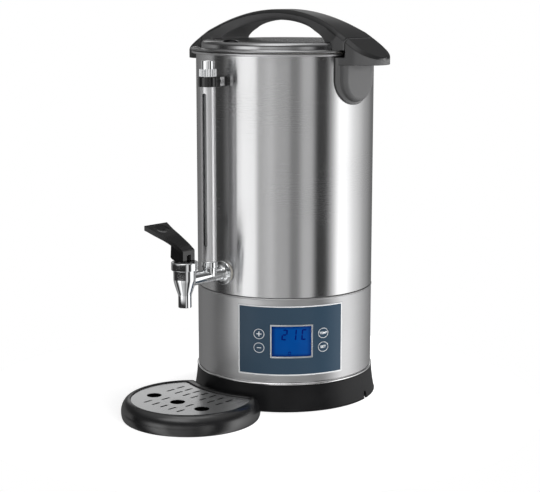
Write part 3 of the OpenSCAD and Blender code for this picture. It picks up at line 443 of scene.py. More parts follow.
def brushed(name, colour, rough, lines, spread, anisotropic=0.0):
    """Steel with fine lines: streaks in colour, roughness and relief."""
    f = Finish(name, colour, rough, 1.0, Anisotropic=anisotropic, Anisotropic_Rotation=0.25)
    streaks = f.noise(f.place(lines), 1.0, 4.0, 0.65)
    clouds = f.noise(f.place((9, 9, 9)), 1.0, 2.0)
    f.colour(f.ramp(streaks, (0.3, shade(colour, 1 - spread)), (0.7, shade(colour, 1 + spread * 0.6))))
    mixed = f.maths("MULTIPLY_ADD", streaks, 0.8, clouds)
    f.rough(f.span(mixed, 0.5, 1.3, rough * 0.82, rough * 1.2))
    f.relief(streaks, 0.006, 0.35)
    if anisotropic:
        tangent = f.node("ShaderNodeTangent")
        tangent.direction_type = "RADIAL"
        tangent.axis = "Z"
        f.link(tangent.outputs["Tangent"], f.shader.inputs["Tangent"])
    return f.material


def polished(name, colour, rough):
    """Bright plating with faint clouds of handling in its gloss."""
    f = Finish(name, colour, rough, 1.0)
    clouds = f.noise(f.place((60, 60, 60)), 1.0, 4.0)
    f.rough(f.span(clouds, 0.35, 0.7, rough * 0.6, rough * 1.7))
    f.colour(f.ramp(clouds, (0.3, shade(colour, 0.96)), (0.7, colour)))
    return f.material


def moulded(name, colour, rough, grain=GRAIN, height=GRAIN_H, gloss=0.5):
    """Plastic with the fine grain of its mould and a slow change of gloss."""
    f = Finish(name, colour, rough, Specular_IOR_Level=gloss)
    fine = f.noise(f.place(), grain, 2.0)
    slow = f.noise(f.place(), 45.0, 3.0)
    f.colour(f.ramp(slow, (0.3, shade(colour, 0.85)), (0.7, shade(colour, 1.18))))
    f.rough(f.span(slow, 0.3, 0.7, rough * 0.88, rough * 1.12))
    f.relief(fine, height, 0.5)
    return f.material


def handle_plastic_painted_shade():
    """Black plastic with painted light and shade: upright faces painted a lighter grey and tops painted near
    black, by how far each face points up; rougher on upright faces, smoother on top.
    """
    # painted light and shade: matt is the lighter grey painted on upright faces as if lit from the side,
    # gloss the near black painted on tops as if unlit
    matt, gloss = (0.075, 0.075, 0.076), (0.008, 0.008, 0.0085)
    f = Finish("handle_black_painted_shade", gloss, 0.36, Specular_IOR_Level=0.35)
    slope_for_painted_shade_and_gloss = f.parts(f.node("ShaderNodeNewGeometry").outputs["Normal"])["Z"]
    # painted shade: the colour goes from the lit grey on upright faces to near black on faces that point up
    f.colour(f.ramp(slope_for_painted_shade_and_gloss, (0.06, matt), (0.45, gloss)))
    f.rough(f.span(slope_for_painted_shade_and_gloss, 0.2, 0.8, 0.48, 0.3))
    f.relief(f.noise(f.place(), GRAIN, 2.0), GRAIN_H, 0.5)
    return f.material


def printed(name, colour, rough, gloss=0.25):
    """Ink or film with a very fine tooth."""
    specks = 0.06
    f = Finish(name, colour, rough, Specular_IOR_Level=gloss)
    tooth = f.noise(f.place(), 2600.0, 2.0)
    f.colour(f.ramp(tooth, (0.35, shade(colour, 1 - specks)), (0.65, shade(colour, 1 + specks))))
    f.rough(f.span(tooth, 0.3, 0.7, rough * 0.9, rough * 1.1))
    return f.material


def milky_glass():
    f = Finish("milky_glass", (0.5, 0.51, 0.52), 0.1, Transmission_Weight=0.3, IOR=1.47)
    f.rough(f.span(f.noise(f.place(), 120.0), 0.35, 0.7, 0.06, 0.14))
    return f.material


def lit_screen():
    """A backlit blue screen that is darker towards its edges."""
    deep, bright = (0.0006, 0.011, 0.08), (0.001, 0.047, 0.215)
    black, grey, white = (0, 0, 0), (0.25, 0.25, 0.25), (1, 1, 1)
    f = Finish("lit_screen", bright, 0.12, Emission_Strength=0.14, Specular_IOR_Level=0.08)
    across = f.parts(f.node("ShaderNodeUVMap").outputs["UV"])
    fade = ((0.0, black), (0.1, white), (0.9, white), (1.0, grey))
    edge = f.maths("MULTIPLY", *[f.ramp(across[axis], *fade) for axis in ("X", "Y")])
    clouds = f.noise(f.place(), 30.0, 2.0)
    light = f.maths("MULTIPLY", edge, f.span(clouds, 0.2, 0.8, 0.65, 1.1))
    blue = f.ramp(light, (0.0, deep), (1.0, bright))
    f.colour(blue)
    f.link(blue, f.shader.inputs["Emission Color"])
    return f.material


def circuit_board():
    """Green board with a pattern of copper runs."""
    green, light_green, run_green = (0.02, 0.14, 0.06), (0.025, 0.17, 0.07), (0.05, 0.26, 0.1)
    f = Finish("circuit_board", green, 0.45)
    runs = f.node("ShaderNodeTexBrick", Scale=90.0, Mortar_Size=0.03)
    for socket, colour in (("Color1", green), ("Color2", light_green), ("Mortar", run_green)):
        runs.inputs[socket].default_value = (*colour, 1)
    f.link(f.place(), runs.inputs["Vector"])
    f.colour(runs.outputs["Color"])
    return f.material


WALL_STEEL = brushed("wall_steel", (0.66, 0.66, 0.665), 0.25, RING_LINES, 0.03, 0.92)
SKIRT_STEEL = brushed("skirt_steel", (0.59, 0.59, 0.595), 0.42, RING_LINES, 0.08, 0.2)
# painted shade: the lid's steel is given a darker colour than the wall's same steel, standing in for the dark
# reflections the lid shows
DARKENED_LID_STEEL = brushed("lid_steel", (0.38, 0.38, 0.385), 0.2, (900, 900, 900), 0.03)
TANK_STEEL = brushed("tank_steel", (0.74, 0.74, 0.745), 0.34, (30, 30, 2600), 0.1)
GRILLE_STEEL = brushed("grille_steel", (0.7, 0.705, 0.71), 0.25, (2400, 60, 60), 0.08)
SHIELD_STEEL = brushed("shield_steel", (0.88, 0.88, 0.89), 0.4, (60, 60, 2400), 0.04)
CHROME = polished("chrome", (0.82, 0.83, 0.84), 0.05)
TRIM_BRIGHT = polished("trim_bright", (0.93, 0.93, 0.935), 0.16)
SCREW_STEEL = polished("screw_steel", (0.55, 0.55, 0.56), 0.3)
ELEMENT_STEEL = brushed("element_steel", (0.3, 0.29, 0.28), 0.45, (400, 400, 400), 0.15)
CAST_ALUMINIUM = brushed("cast_aluminium", (0.55, 0.56, 0.57), 0.5, (300, 300, 300), 0.12)
PIN_BRASS = brushed("pin_brass", (0.68, 0.52, 0.25), 0.3, (500, 500, 500), 0.08)
HANDLE_BLACK = handle_plastic_painted_shade()
BASE_BLACK = moulded("base_black", (0.007, 0.007, 0.0075), 0.34, 900, 0.02, gloss=0.15)
TRAY_BLACK = moulded("tray_black", (0.006, 0.006, 0.0065), 0.24, 1600, 0.006, gloss=0.9)
LEVER_BLACK = moulded("lever_black", (0.006, 0.006, 0.0065), 0.18, 1600, 0.006, gloss=0.5)
DARK_PLASTIC = moulded("dark_plastic", (0.03, 0.03, 0.032), 0.55)
FOOT_RUBBER = moulded("foot_rubber", (0.025, 0.025, 0.025), 0.8, 700, 0.03)
SILICONE = moulded("silicone", (0.42, 0.4, 0.36), 0.55, 900, 0.01)
RED_SILICONE = moulded("red_silicone", (0.3, 0.08, 0.06), 0.5, 900, 0.01)
CERAMIC = moulded("ceramic", (0.62, 0.58, 0.5), 0.6, 1100, 0.02)
PANEL_FILM = printed("panel_film", (0.025, 0.047, 0.073), 0.34)
KEY_FILM = printed("key_film", (0.027, 0.049, 0.076), 0.34)
WHITE_INK = printed("white_ink", (0.78, 0.8, 0.82), 0.4)
SILVER_INK = printed("silver_ink", (0.62, 0.63, 0.64), 0.3, gloss=0.6)
SILVER_FRAME = polished("silver_frame", (0.72, 0.74, 0.76), 0.3)
DIGIT_BLUE = printed("digit_blue", (0.0003, 0.006, 0.1), 0.3, gloss=0.05)
GLASS = milky_glass()
SCREEN = lit_screen()
BOARD = circuit_board()


# Base, trim ring, skirt, wall and tank

def build_base():
    """The moulded base: a flared foot, a cable notch on each side and the hole for the inlet."""
    wall, toe, brow, flare, steps = 3.0, 1.5, 0.8, 1.6, 14
    top_r, inner_r, knee, shoulder = BODY_R + 1.5, BODY_R - 9, 0.3, 0.9
    height = BASE_TOP - BASE_Z

    def edge(t):
        return top_r + (BASE_R - top_r) * (1 - t) ** flare

    profile = [(BASE_R - toe, BASE_Z)] + arc((BASE_R - toe, BASE_Z + toe), toe, -60, 0, 4)
    profile += [(edge(i / steps), BASE_Z + height * i / steps) for i in range(1, steps)]
    profile += arc((top_r - brow, BASE_TOP - brow), brow, 0, 90, 4)
    profile += [(inner_r, BASE_TOP), (inner_r, BASE_TOP - wall), (edge(shoulder) - wall, BASE_TOP - wall),
                (edge(knee) - wall, BASE_Z + height * knee), (BASE_R - wall, BASE_Z)]
    made = shape_object("base_shell", revolve(profile))
    notch_r, notch_top, notch_foot = 3.5, BASE_Z + 10, -9
    notch_az = math.radians(104)
    outside = BASE_R + 5
    notch = [(-notch_r, notch_foot)] + arc((0, notch_top - notch_r), notch_r, 180, 0, 12)
    notch += [(notch_r, notch_foot)]
    for side in (-1, 1):
        cut(made, along_tap(prism(notch, BODY_R - 4, outside), 0, side * notch_az))
    lo, hi, gap = low("power_inlet"), high("power_inlet"), 0.2
    cut(made, box(lo.x - gap, hi.x + gap, lo.y - 4, outside, lo.z - gap, hi.z + gap))
    bevel(made, 0.5, 2, 50)
    dress(made, "urn", BASE_BLACK, "base_housing", slot="black_plastic")


def build_trim():
    inner_r, lip_r, lip_wall, lip_h = BODY_R - 7, BODY_R - 1, 1.2, 5.0
    roll, roll_at, gap = 1.45, (BODY_R + 0.3, (BASE_TOP + TRIM_TOP) / 2), 0.05
    profile = [(inner_r, BASE_TOP + gap)] + arc(roll_at, roll, -90, 90, 14)
    profile += [(lip_r, TRIM_TOP), (lip_r, TRIM_TOP + lip_h), (lip_r - lip_wall, TRIM_TOP + lip_h),
                (inner_r, TRIM_TOP)]
    turned("trim_band", profile, TRIM_BRIGHT, "trim_ring", "bright_trim")


def build_skirt():
    edge, bead = 0.2, 1.2
    inner_r, shelf_r = BODY_R - SHEET, BODY_R - SHEET - 4
    profile = [(inner_r, SKIRT_Z), (BODY_R - edge, SKIRT_Z), (BODY_R, SKIRT_Z + edge),
               (BODY_R, SKIRT_TOP - 2 * bead)]
    profile += arc((BODY_R - bead / 2, SKIRT_TOP - bead), bead, -45, 90, 10)
    profile += [(shelf_r, SKIRT_TOP), (shelf_r, SKIRT_TOP - SHEET), (inner_r, SKIRT_TOP - SHEET)]
    made = shape_object("skirt_sheet", revolve(profile))
    cut(made, panel_tool(PANEL_W, PANEL_Z, PANEL_TOP))
    dress(made, "urn", SKIRT_STEEL, "lower_skirt", slot="brushed_steel", sharp=50)


def build_wall():
    fold, inner_r, shelf_r = 0.35, BODY_R - SHEET, BODY_R - SHEET - 4
    profile = [(inner_r, WALL_Z), (BODY_R - fold, WALL_Z)]
    profile += arc((BODY_R - fold, WALL_Z + fold), fold, -90, 0, 4)
    profile += [(BODY_R, WALL_TOP), (inner_r, WALL_TOP), (inner_r, WALL_Z + SHEET), (shelf_r, WALL_Z + SHEET),
                (shelf_r, WALL_Z)]
    turned("wall_sheet", profile, WALL_STEEL, "outer_wall", "brushed_steel", sharp=50)


def build_tank():
    floor_z = low("tank").z
    corner, bead, mouth, overlap = 6.0, 1.8, 1.2, 0.4
    profile = [(0, floor_z), (TANK_R - corner, floor_z)]
    profile += arc((TANK_R - corner, floor_z + corner), corner, -90, 0)
    profile += [(TANK_R, RIM_Z - SHEET), (RIM_R - 2 * bead + overlap, RIM_Z - SHEET)]
    profile += arc((RIM_R - bead, RIM_Z - bead), bead, 150, 90 + 360, 24)
    profile += arc((TANK_R - SHEET + mouth, RIM_Z - mouth), mouth, 90, 180, 5)
    profile += arc((TANK_R - corner, floor_z + corner), corner - SHEET, 0, -90)
    profile += [(0, floor_z + SHEET)]
    turned("tank_shell", profile, TANK_STEEL, "tank", "tank_steel", closed=False)


# Key panel

PANEL_AZ = math.radians(46.5)
PANEL_R = BODY_R + 0.4
PANEL_W = 127.0
PANEL_Z = low("panel_fascia").z + 4
PANEL_TOP = high("panel_fascia").z - 4
TOOL_FROM = 60.0
TOOL_TO = 150.0
DISPLAY_W = 52.0
DISPLAY_RIM = 2.0
DISPLAY_MID = (DISPLAY_Z + DISPLAY_TOP) / 2
KEY_R = 6.3
KEY_X = 39.0
KEY_PITCH = 17.1
KEY_PROUD = 0.2
INK_H = 0.08
KEYS = {
    "key_up": (-KEY_X, DISPLAY_MID + KEY_PITCH / 2),
    "key_down": (-KEY_X, DISPLAY_MID - KEY_PITCH / 2),
    "key_menu": (KEY_X, DISPLAY_MID + KEY_PITCH / 2),
    "key_start": (KEY_X, DISPLAY_MID - KEY_PITCH / 2),
}


def on_panel(x, z, lift):
    """The point at a distance across the bent panel, a height and a lift off its face."""
    r = PANEL_R + lift
    y = -math.sqrt(r * r - x * x)
    c, s = math.cos(PANEL_AZ), math.sin(PANEL_AZ)
    return (x * c - y * s, x * s + y * c, z)


def panel_tool(w, z0, z1):
    """A block that comes out of the panel, square to its middle."""
    return moved(box(-w / 2, w / 2, -TOOL_TO, -TOOL_FROM, z0, z1), Matrix.Rotation(PANEL_AZ, 4, "Z"))


def bent_bar(x0, x1, z0, z1, back, front, cols):
    """A bar bent with the panel, between two places across it, two heights and two lifts."""
    n = cols + 1
    across = [x0 + (x1 - x0) * i / cols for i in range(n)]
    rows = ((z0, back), (z0, front), (z1, front), (z1, back))
    faces = grid_faces(4, n, close_rows=True, close_cols=False)
    faces += [(0, n, 2 * n, 3 * n), (n - 1, 2 * n - 1, 3 * n - 1, 4 * n - 1)]
    return [on_panel(x, z, lift) for z, lift in rows for x in across], faces


def on_key(rows, x, z, steps):
    """Points on circles about a place on the panel, from rows of radius and lift."""
    turns = [TURN * j / steps for j in range(steps)]
    return [on_panel(x + r * math.cos(t), z + r * math.sin(t), lift) for r, lift in rows for t in turns]


def build_fascia():
    """The bent panel with its holes for the display and keys, and the printed line round it."""
    thick, fit, key_gap = 2.6, 0.2, 0.3
    half, z0, z1 = PANEL_W / 2 - fit, PANEL_Z + fit, PANEL_TOP - fit
    made = shape_object("panel_plate", bent_bar(-half, half, z0, z1, -thick, 0, 64))
    cut(made, panel_tool(DISPLAY_W, DISPLAY_Z, DISPLAY_TOP))
    for x, z in KEYS.values():
        cut(made, along_tap(rod(KEY_R + key_gap, TOOL_FROM, TOOL_TO, (x, 0), 48), z, PANEL_AZ))
    dress(made, "urn", PANEL_FILM, "panel_fascia", slot="panel_blue", sharp=30)
    line, root, lift, step = 1.5, -0.3, 0.12, 2
    bands = [(-half, half, z0, z0 + line), (-half, half, z1 - line, z1),
             (-half, line - half, z0 + line, z1 - line), (half - line, half, z0 + line, z1 - line)]
    bars = [bent_bar(*band, root, lift, max(2, int((band[1] - band[0]) / step))) for band in bands]
    dress(shape_object("panel_border", merged(bars)), "urn", SILVER_INK, slot="display_frame")


def flat_mark(name, outlines, x, z, lift, body, material, height=INK_H, slot="panel_blue"):
    """Flat outlines of (x, z) points laid on the panel as thin raised ink."""
    lifts = (lift - height, lift + height)
    shapes = [loft([[on_panel(x + a, z + b, d) for a, b in outline] for d in lifts]) for outline in outlines]
    dress(shape_object(name, merged(shapes)), body, material, slot=slot)


def word_mark(name, word, size, key):
    """A plain word on a key, as thin raised ink."""
    x, z = KEYS[key]
    text = bpy.data.curves.new(name, "FONT")
    text.body = word
    text.size = size
    text.align_x = "CENTER"
    text.align_y = "CENTER"
    text.extrude = INK_H
    text.offset = 0.06
    holder = new_object(name + "_text", text)
    mesh = baked_mesh(holder)
    bpy.data.objects.remove(holder)
    for v in mesh.vertices:
        v.co = Vector(on_panel(x + v.co.x, z + v.co.y, KEY_PROUD + v.co.z)) * MM
    tidy_mesh(mesh)
    dress(new_object(name, mesh), key, WHITE_INK, slot="panel_blue")


def build_keys():
    """Round keys with a printed ring and sign each."""
    foot, edge, steps = -2.2, 0.25, 48
    rows = [(KEY_R, foot), (KEY_R, KEY_PROUD - edge), (KEY_R - edge, KEY_PROUD)]
    rows += [(KEY_R * k, KEY_PROUD) for k in (0.75, 0.5, 0.25, 0.0)]
    faces = grid_faces(len(rows), steps) + [tuple(range(steps))]
    ring_r, ring_w, ring_steps = KEY_R - 0.1, 0.48, 56
    under, over = KEY_PROUD - INK_H, KEY_PROUD + INK_H
    ring = [(ring_r, under), (ring_r, over), (ring_r - ring_w, over), (ring_r - ring_w, under)]
    ring_faces = grid_faces(4, ring_steps, close_rows=True)
    for name, (x, z) in KEYS.items():
        cap = shape_object(name + "_cap", (on_key(rows, x, z, steps), faces))
        dress(cap, name, KEY_FILM, name, slot="panel_blue")
        mark = shape_object(name + "_ring", (on_key(ring, x, z, ring_steps), ring_faces))
        dress(mark, name, WHITE_INK, slot="panel_blue")
    arm, half = 3.0, 0.42
    plus = [bar(-arm, arm, -half, half), bar(-half, half, half, arm), bar(-half, half, -arm, -half)]
    minus = [bar(-arm * 0.85, arm * 0.85, -half * 0.8, half * 0.8)]
    for name, outlines, key in (("plus_mark", plus, "key_up"), ("minus_mark", minus, "key_down")):
        flat_mark(name, outlines, *KEYS[key], KEY_PROUD, key, WHITE_INK)
    word_mark("menu_word", "TEMP", 3.9, "key_menu")
    word_mark("start_word", "SET", 4.5, "key_start")


def bent_slab(name, w, z0, z1, lift, depth):
    """A plate bent with the panel, with a UV map over its front."""
    made = shape_object(name, bent_bar(-w / 2, w / 2, z0, z1, lift - depth, lift, 40))
    layer = made.data.uv_layers.new(name="front")
    c, s = math.cos(PANEL_AZ), math.sin(PANEL_AZ)
    for loop in made.data.loops:
        p = made.data.vertices[loop.vertex_index].co / MM
        layer.data[loop.index].uv = ((p.x * c + p.y * s) / w + 0.5, (p.z - z0) / (z1 - z0))
    return made


SEGMENTS = {"2": "abged", "1": "bc", "c": "afed", "0": "abcdef"}


def digit_bars(sign, x, z, w, h, t):
    """The bars of a seven-bar digit that leans a little; t is a bar's width."""
    right, top, mid, gap, lean = w - t, h - t, h / 2, t * 0.3, 0.08
    places = {
        "a": bar(t, right, top, h),
        "g": bar(t, right, mid - t / 2, mid + t / 2),
        "d": bar(t, right, 0, t),
        "f": bar(0, t, mid + gap, h - gap),
        "b": bar(right, w, mid + gap, h - gap),
        "e": bar(0, t, gap, mid - gap),
        "c": bar(right, w, gap, mid - gap),
    }
    return [[(x + px + lean * pz, z + pz) for px, pz in places[letter]] for letter in SEGMENTS[sign]]


def build_display():
    """The display's frame, its lit screen and the digits on it."""
    lift, depth, fit, ink_h = 1.1, 2.4, 0.1, 0.05
    rim = bent_slab("display_rim", DISPLAY_W - 2 * fit, DISPLAY_Z + fit, DISPLAY_TOP - fit, lift, depth)
    w, z0, z1 = DISPLAY_W - 2 * DISPLAY_RIM, DISPLAY_Z + DISPLAY_RIM, DISPLAY_TOP - DISPLAY_RIM
    cut(rim, panel_tool(w, z0, z1))
    bevel(rim, 0.5, 3, 50)
    dress(rim, "urn", SILVER_FRAME, "display_bezel", slot="display_frame")
    play, glass_lift, glass_depth = 0.2, 0.25, 2.0
    glass = bent_slab("display_glass", w - 2 * play, z0 + play, z1 - play, glass_lift, glass_depth)
    dress(glass, "urn", SCREEN, "display_screen", slot="display_blue")
    large, small, head, foot = (7.0, 13.5, 1.7), (3.6, 4.2, 0.9), 3.5, 2.0
    upper, lower = z1 - head - large[1] - DISPLAY_MID, z0 + foot - DISPLAY_MID
    places = (("2", -12.5, upper, large), ("1", -1.5, upper, large), ("c", 11.5, upper, large),
              ("0", -4.5, lower, small))
    digits = [outline for sign, x, z, size in places for outline in digit_bars(sign, x, z, *size)]
    flat_mark("display_digits", digits, 0, DISPLAY_MID, glass_lift, "urn", DIGIT_BLUE, ink_h, "display_blue")


# Tap

def build_tap():
    """The tap's body, nearly upright under the head and drawn in to the spout, and its bonnet."""
    head_r, spout_r, lip, wall, steps = 13.5, 8.0, 0.4, 1.6, 26
    collar_r, collar_h, chamber_r, seat_r = 11.5, 6.0, 8.0, 4.9
    cone_z, chamber_z = SPOUT_Z + 15, SHANK_Z - 8
    upright, draft, curve = 0.4, 0.08, 1.25

    def edge(t):
        past = max(0.0, t - upright) / (1 - upright)
        return spout_r + (head_r - spout_r) * (1 - draft * t - (1 - draft) * past ** curve)

    profile = [(spout_r - wall, SPOUT_Z), (spout_r - lip, SPOUT_Z)]
    profile += arc((spout_r - lip, SPOUT_Z + lip), lip, -90, 0, 3) + [(spout_r, cone_z - 1)]
    profile += [(edge(1 - i / steps), cone_z + (HEAD_Z - cone_z) * i / steps) for i in range(1, steps + 1)]
    profile += [(collar_r, HEAD_Z), (collar_r, HEAD_Z + collar_h), (chamber_r, HEAD_Z + collar_h),
                (chamber_r, chamber_z), (seat_r, chamber_z), (seat_r, cone_z), (spout_r - wall, cone_z - 2)]
    turned("tap_barrel", profile, CHROME, "tap_body", "chrome", TAP_AXIS, 96)
    r, foot, brow, stem_r, play = span("tap_bonnet").x / 2, 0.7, 1.4, 3.3, 0.1
    bore_r, bore_z = collar_r + play, HEAD_Z + collar_h + play
    profile = [(bore_r, HEAD_Z)] + arc((r - foot, HEAD_Z + foot), foot, -90, 0, 4)
    profile += arc((r - brow, TAP_TOP - brow), brow, 0, 90, 6)
    profile += [(stem_r, TAP_TOP), (stem_r, bore_z), (bore_r, bore_z)]
    turned("bonnet_ring", profile, CHROME, "tap_bonnet", "chrome", TAP_AXIS, 96)


def build_shank():
    """The pipe through the wall with its flange, and the socket that the gauge stands in."""
    r, thread, bore, edge = 8.25, 7.95, 4.5, 1.5
    face, inner, outer = BODY_R + 1.4, BODY_R - 21.6, -TAP_Y - 8.6
    neck_at, neck_r, neck_end = (FLANGE_R - 2.2, face + 7.6), 4.8, face + 8.5
    profile = [(bore, inner), (thread, inner), (thread, face), (FLANGE_R - edge, face)]
    profile += arc((FLANGE_R - edge, face + edge), edge, -90, 60, 8)
    profile += arc(neck_at, neck_r, 250, 180, 8) + [(r, neck_end), (r, outer), (bore, outer)]
    made = shape_object("shank_pipe", along_tap(revolve(profile, steps=96)))
    tube_r, floor_z, rim_z, lip, brow, step = 5.2, SHANK_Z + 9, SHANK_Z + 10, 0.9, 1.2, 0.2
    socket = [(0, SHANK_Z), (GAUGE_R, SHANK_Z), (GAUGE_R, rim_z)]
    socket += arc((GAUGE_R + step, rim_z + 1), lip, -90, 0, 4)
    socket += arc((GAUGE_R - step, GAUGE_Z - brow), brow, 0, 90, 4)
    socket += [(tube_r, GAUGE_Z), (tube_r, floor_z), (0, floor_z)]
    join(made, revolve(socket, GAUGE_AXIS, 72, closed=False))
    bevel(made, 0.5, 2, 40)
    dress(made, "urn", CHROME, "tap_shank", slot="chrome", sharp=30)


def build_lever():
    """The lever: a paddle with a thumb hollow, on a forked block whose foot is the cam."""
    pin_z = middle("lever_pin").z
    length, wide, narrow, thick = 56.5, 37.0, 19.0, 5.5
    half_block, rise, base = 7.5, 25.5, 5.3
    path = [(0, 0), (0.12, 0.19), (0.25, 0.34), (0.5, 0.58), (0.75, 0.77), (1, 1)]
    hollow_at, hollow_x, hollow_y, hollow_deep = 0.8, 8.5, 10.5, 1.3
    flare, dish, count, across = 1.7, 1.5, 44, 22

    def along(t):
        return half_block - length * t

    def height(t):
        for (a, za), (b, zb) in zip(path, path[1:]):
            if t <= b:
                return base + rise * (za + (zb - za) * (t - a) / (b - a))
        return base + rise

    def soft_height(t):
        near = [height(min(1, max(0, t + d))) for d in (-0.06, -0.03, 0, 0.03, 0.06)]
        return sum(near) / len(near) if 0 < t < 1 else height(t)

    sections = []
    for i in range(count + 1):
        t = i / count
        x, z = along(t), pin_z + soft_height(t)
        w = narrow / 2 + (wide - narrow) / 2 * t ** flare
        section = []
        for k in range(across + 1):
            y = w - 2 * w * k / across
            reach = math.hypot((x - along(hollow_at)) / hollow_x, y / hollow_y)
            section.append((x, TAP_Y + y, z - hollow_deep * max(0.0, 1 - reach * reach) ** dish))
        sections.append(section + [(x, TAP_Y - w, z - thick), (x, TAP_Y + w, z - thick)])
    made = shape_object("lever_arm", loft(sections))
    cam_r, cam_foot, cam_turn, steps = 7.5, 6.7, 43, 12
    bury, heel_bury = 1.2, 0.6
    block = [(half_block, -cam_foot)]
    for i in range(steps + 1):
        a = math.radians(cam_turn * i / steps)
        h = cam_foot + cam_r * a
        block.append((-h * math.sin(a) - cam_r * math.cos(a), -h * math.cos(a) + cam_r * math.sin(a)))
    block += [(along(t), soft_height(t) - d) for t, d in ((0.36, thick), (0.25, bury), (0.12, bury))]
    block += [(half_block, base - heel_bury)]
    upright = Matrix.Translation((0, TAP_Y, pin_z)) @ Matrix.Rotation(math.radians(90), 4, "X")
    join(made, moved(prism(block, -narrow / 2, narrow / 2), upright))
    fork, fork_z, fork_top = 3.3, pin_z - 14, pin_z + 0.5
    cut(made, box(-2 * half_block, 2 * half_block, TAP_Y - fork, TAP_Y + fork, fork_z, fork_top))
    bevel(made, 0.9, 3, 32)
    dress(made, "lever", LEVER_BLACK, "tap_lever", slot="black_plastic", sharp=30)


# Level gauge

def build_gauge():
    """The slotted sleeve and the glass in it."""
    wall, glass_wall = 1.0, 1.3
    slot_r, slot_foot, slot_head, slot_az = 2.75, 18.0, 7.5, math.radians(13)
    profile = bar(GAUGE_R - wall, GAUGE_R, GAUGE_Z, GAUGE_TOP)
    made = shape_object("gauge_sleeve", revolve(profile, GAUGE_AXIS, 96))
    lo, hi = GAUGE_Z + slot_foot + slot_r, GAUGE_TOP - slot_head - slot_r
    outline = arc((0, hi), slot_r, 0, 180, 14) + arc((0, lo), slot_r, 180, 360, 14)
    place = Matrix.Translation((0, GAUGE_Y, 0)) @ Matrix.Rotation(slot_az, 4, "Z")
    cut(made, moved(along_tap(prism(outline, 0, 2 * GAUGE_R), 0), place))
    bevel(made, 0.3, 2, 50)
    dress(made, "urn", SHIELD_STEEL, "gauge_shield", slot="chrome", sharp=40)
    r = span("gauge_tube").x / 2
    profile = bar(r - glass_wall, r, low("gauge_tube").z, high("gauge_tube").z)
    turned("gauge_glass", profile, GLASS, "gauge_tube", "gauge_glass", GAUGE_AXIS, 48)


def build_bracket():
    """The black bracket that holds the gauge to the wall, and the plate that clamps it."""
    lo, hi = low("gauge_bracket"), high("gauge_bracket")
    ring_r, arm, bore, wall_gap, ring_gap = (hi.x - lo.x) / 2, 7.0, 5.2, 0.1, 0.2
    under, above = lo.z - 2, hi.z + 2
    made = shape_object("bracket_block", rod(ring_r, lo.z, hi.z, GAUGE_AXIS, 72))
    join(made, box(-arm, arm, GAUGE_Y, 3 - BODY_R, lo.z, hi.z))
    cut(made, rod(BODY_R + wall_gap, under, above), rod(bore, under, above, GAUGE_AXIS, 48))
    bevel(made, 0.6, 3, 40)
    dress(made, "urn", LEVER_BLACK, "gauge_bracket", slot="black_plastic")
    lo, hi = low("clamp_plate"), high("clamp_plate")
    plate = shape_object("clamp_tab", box(lo.x, hi.x, lo.y, hi.y, lo.z, hi.z))
    cut(plate, rod(ring_r + ring_gap, under, above, GAUGE_AXIS, 72))
    bevel(plate, 0.35, 2, 40)
    dress(plate, "urn", TRIM_BRIGHT, "clamp_plate", slot="bright_trim")


def build_cap():
    """The knurled cap on the gauge."""
    r, z0, z1 = span("gauge_cap").x / 2, low("gauge_cap").z, high("gauge_cap").z
    knurl, rib, count, bore, bore_z = 9.0, 1.1, 20, 5.3, z0 + 6
    root, crown, brow, brow_at = r - 2.2, r - 2.4, 1.4, (r - 3.7, z1 - 1.6)
    profile = [(bore, z0), (root, z0), (root, z0 + knurl), (crown, z0 + knurl)]
    profile += arc(brow_at, brow, 20, 90, 6) + [(0, z1), (0, bore_z), (bore, bore_z)]
    made = shape_object("cap_knob", revolve(profile, GAUGE_AXIS, 72, closed=False))
    knurl_ring(made, (0, GAUGE_Y, z0 + knurl / 2), r - rib, rib, knurl - 0.4, count)
    dress(made, "gauge_cap", CHROME, "gauge_cap", slot="chrome")


def knurl_ring(made, centre, ring_r, rib_r, height, count):
    """Adds upright ribs in a ring to a knob."""
    p = Pattern("knurl_ring", CHROME)
    ribs = p.size("Ribs", count, "NodeSocketInt")
    circle = p.node("MeshCircle", {"Vertices": ribs, "Radius": p.size("Ring radius", ring_r * MM)})
    radius, depth = p.size("Rib radius", rib_r * MM), p.size("Rib height", height * MM)
    rib = p.node("MeshCylinder", {"Radius": radius, "Depth": depth}, Vertices=12)
    copies = p.copies(p.shifted(circle.outputs["Mesh"], *centre), rib.outputs["Mesh"])
    p.run(made, p.joined(p.given, copies))


# Screws

def screw_places(node):
    """The middle of each head in a node of loose screws that stand on their heads."""
    bm = bmesh.new()
    bm.from_mesh(frame["nodes"][node].data)
    bmesh.ops.remove_doubles(bm, verts=bm.verts, dist=0.001 * MM)
    left, spots = set(bm.verts), []
    while left:
        group, todo = set(), [left.pop()]
        while todo:
            v = todo.pop()
            group.add(v)
            near = {e.other_vert(v) for e in v.link_edges} & left
            left -= near
            todo += near
        lo = [min(v.co[k] for v in group) / MM for k in range(3)]
        hi = [max(v.co[k] for v in group) / MM for k in range(3)]
        spots.append(((lo[0] + hi[0]) / 2, (lo[1] + hi[1]) / 2, lo[2]))
    bm.free()
    return sorted(spots)


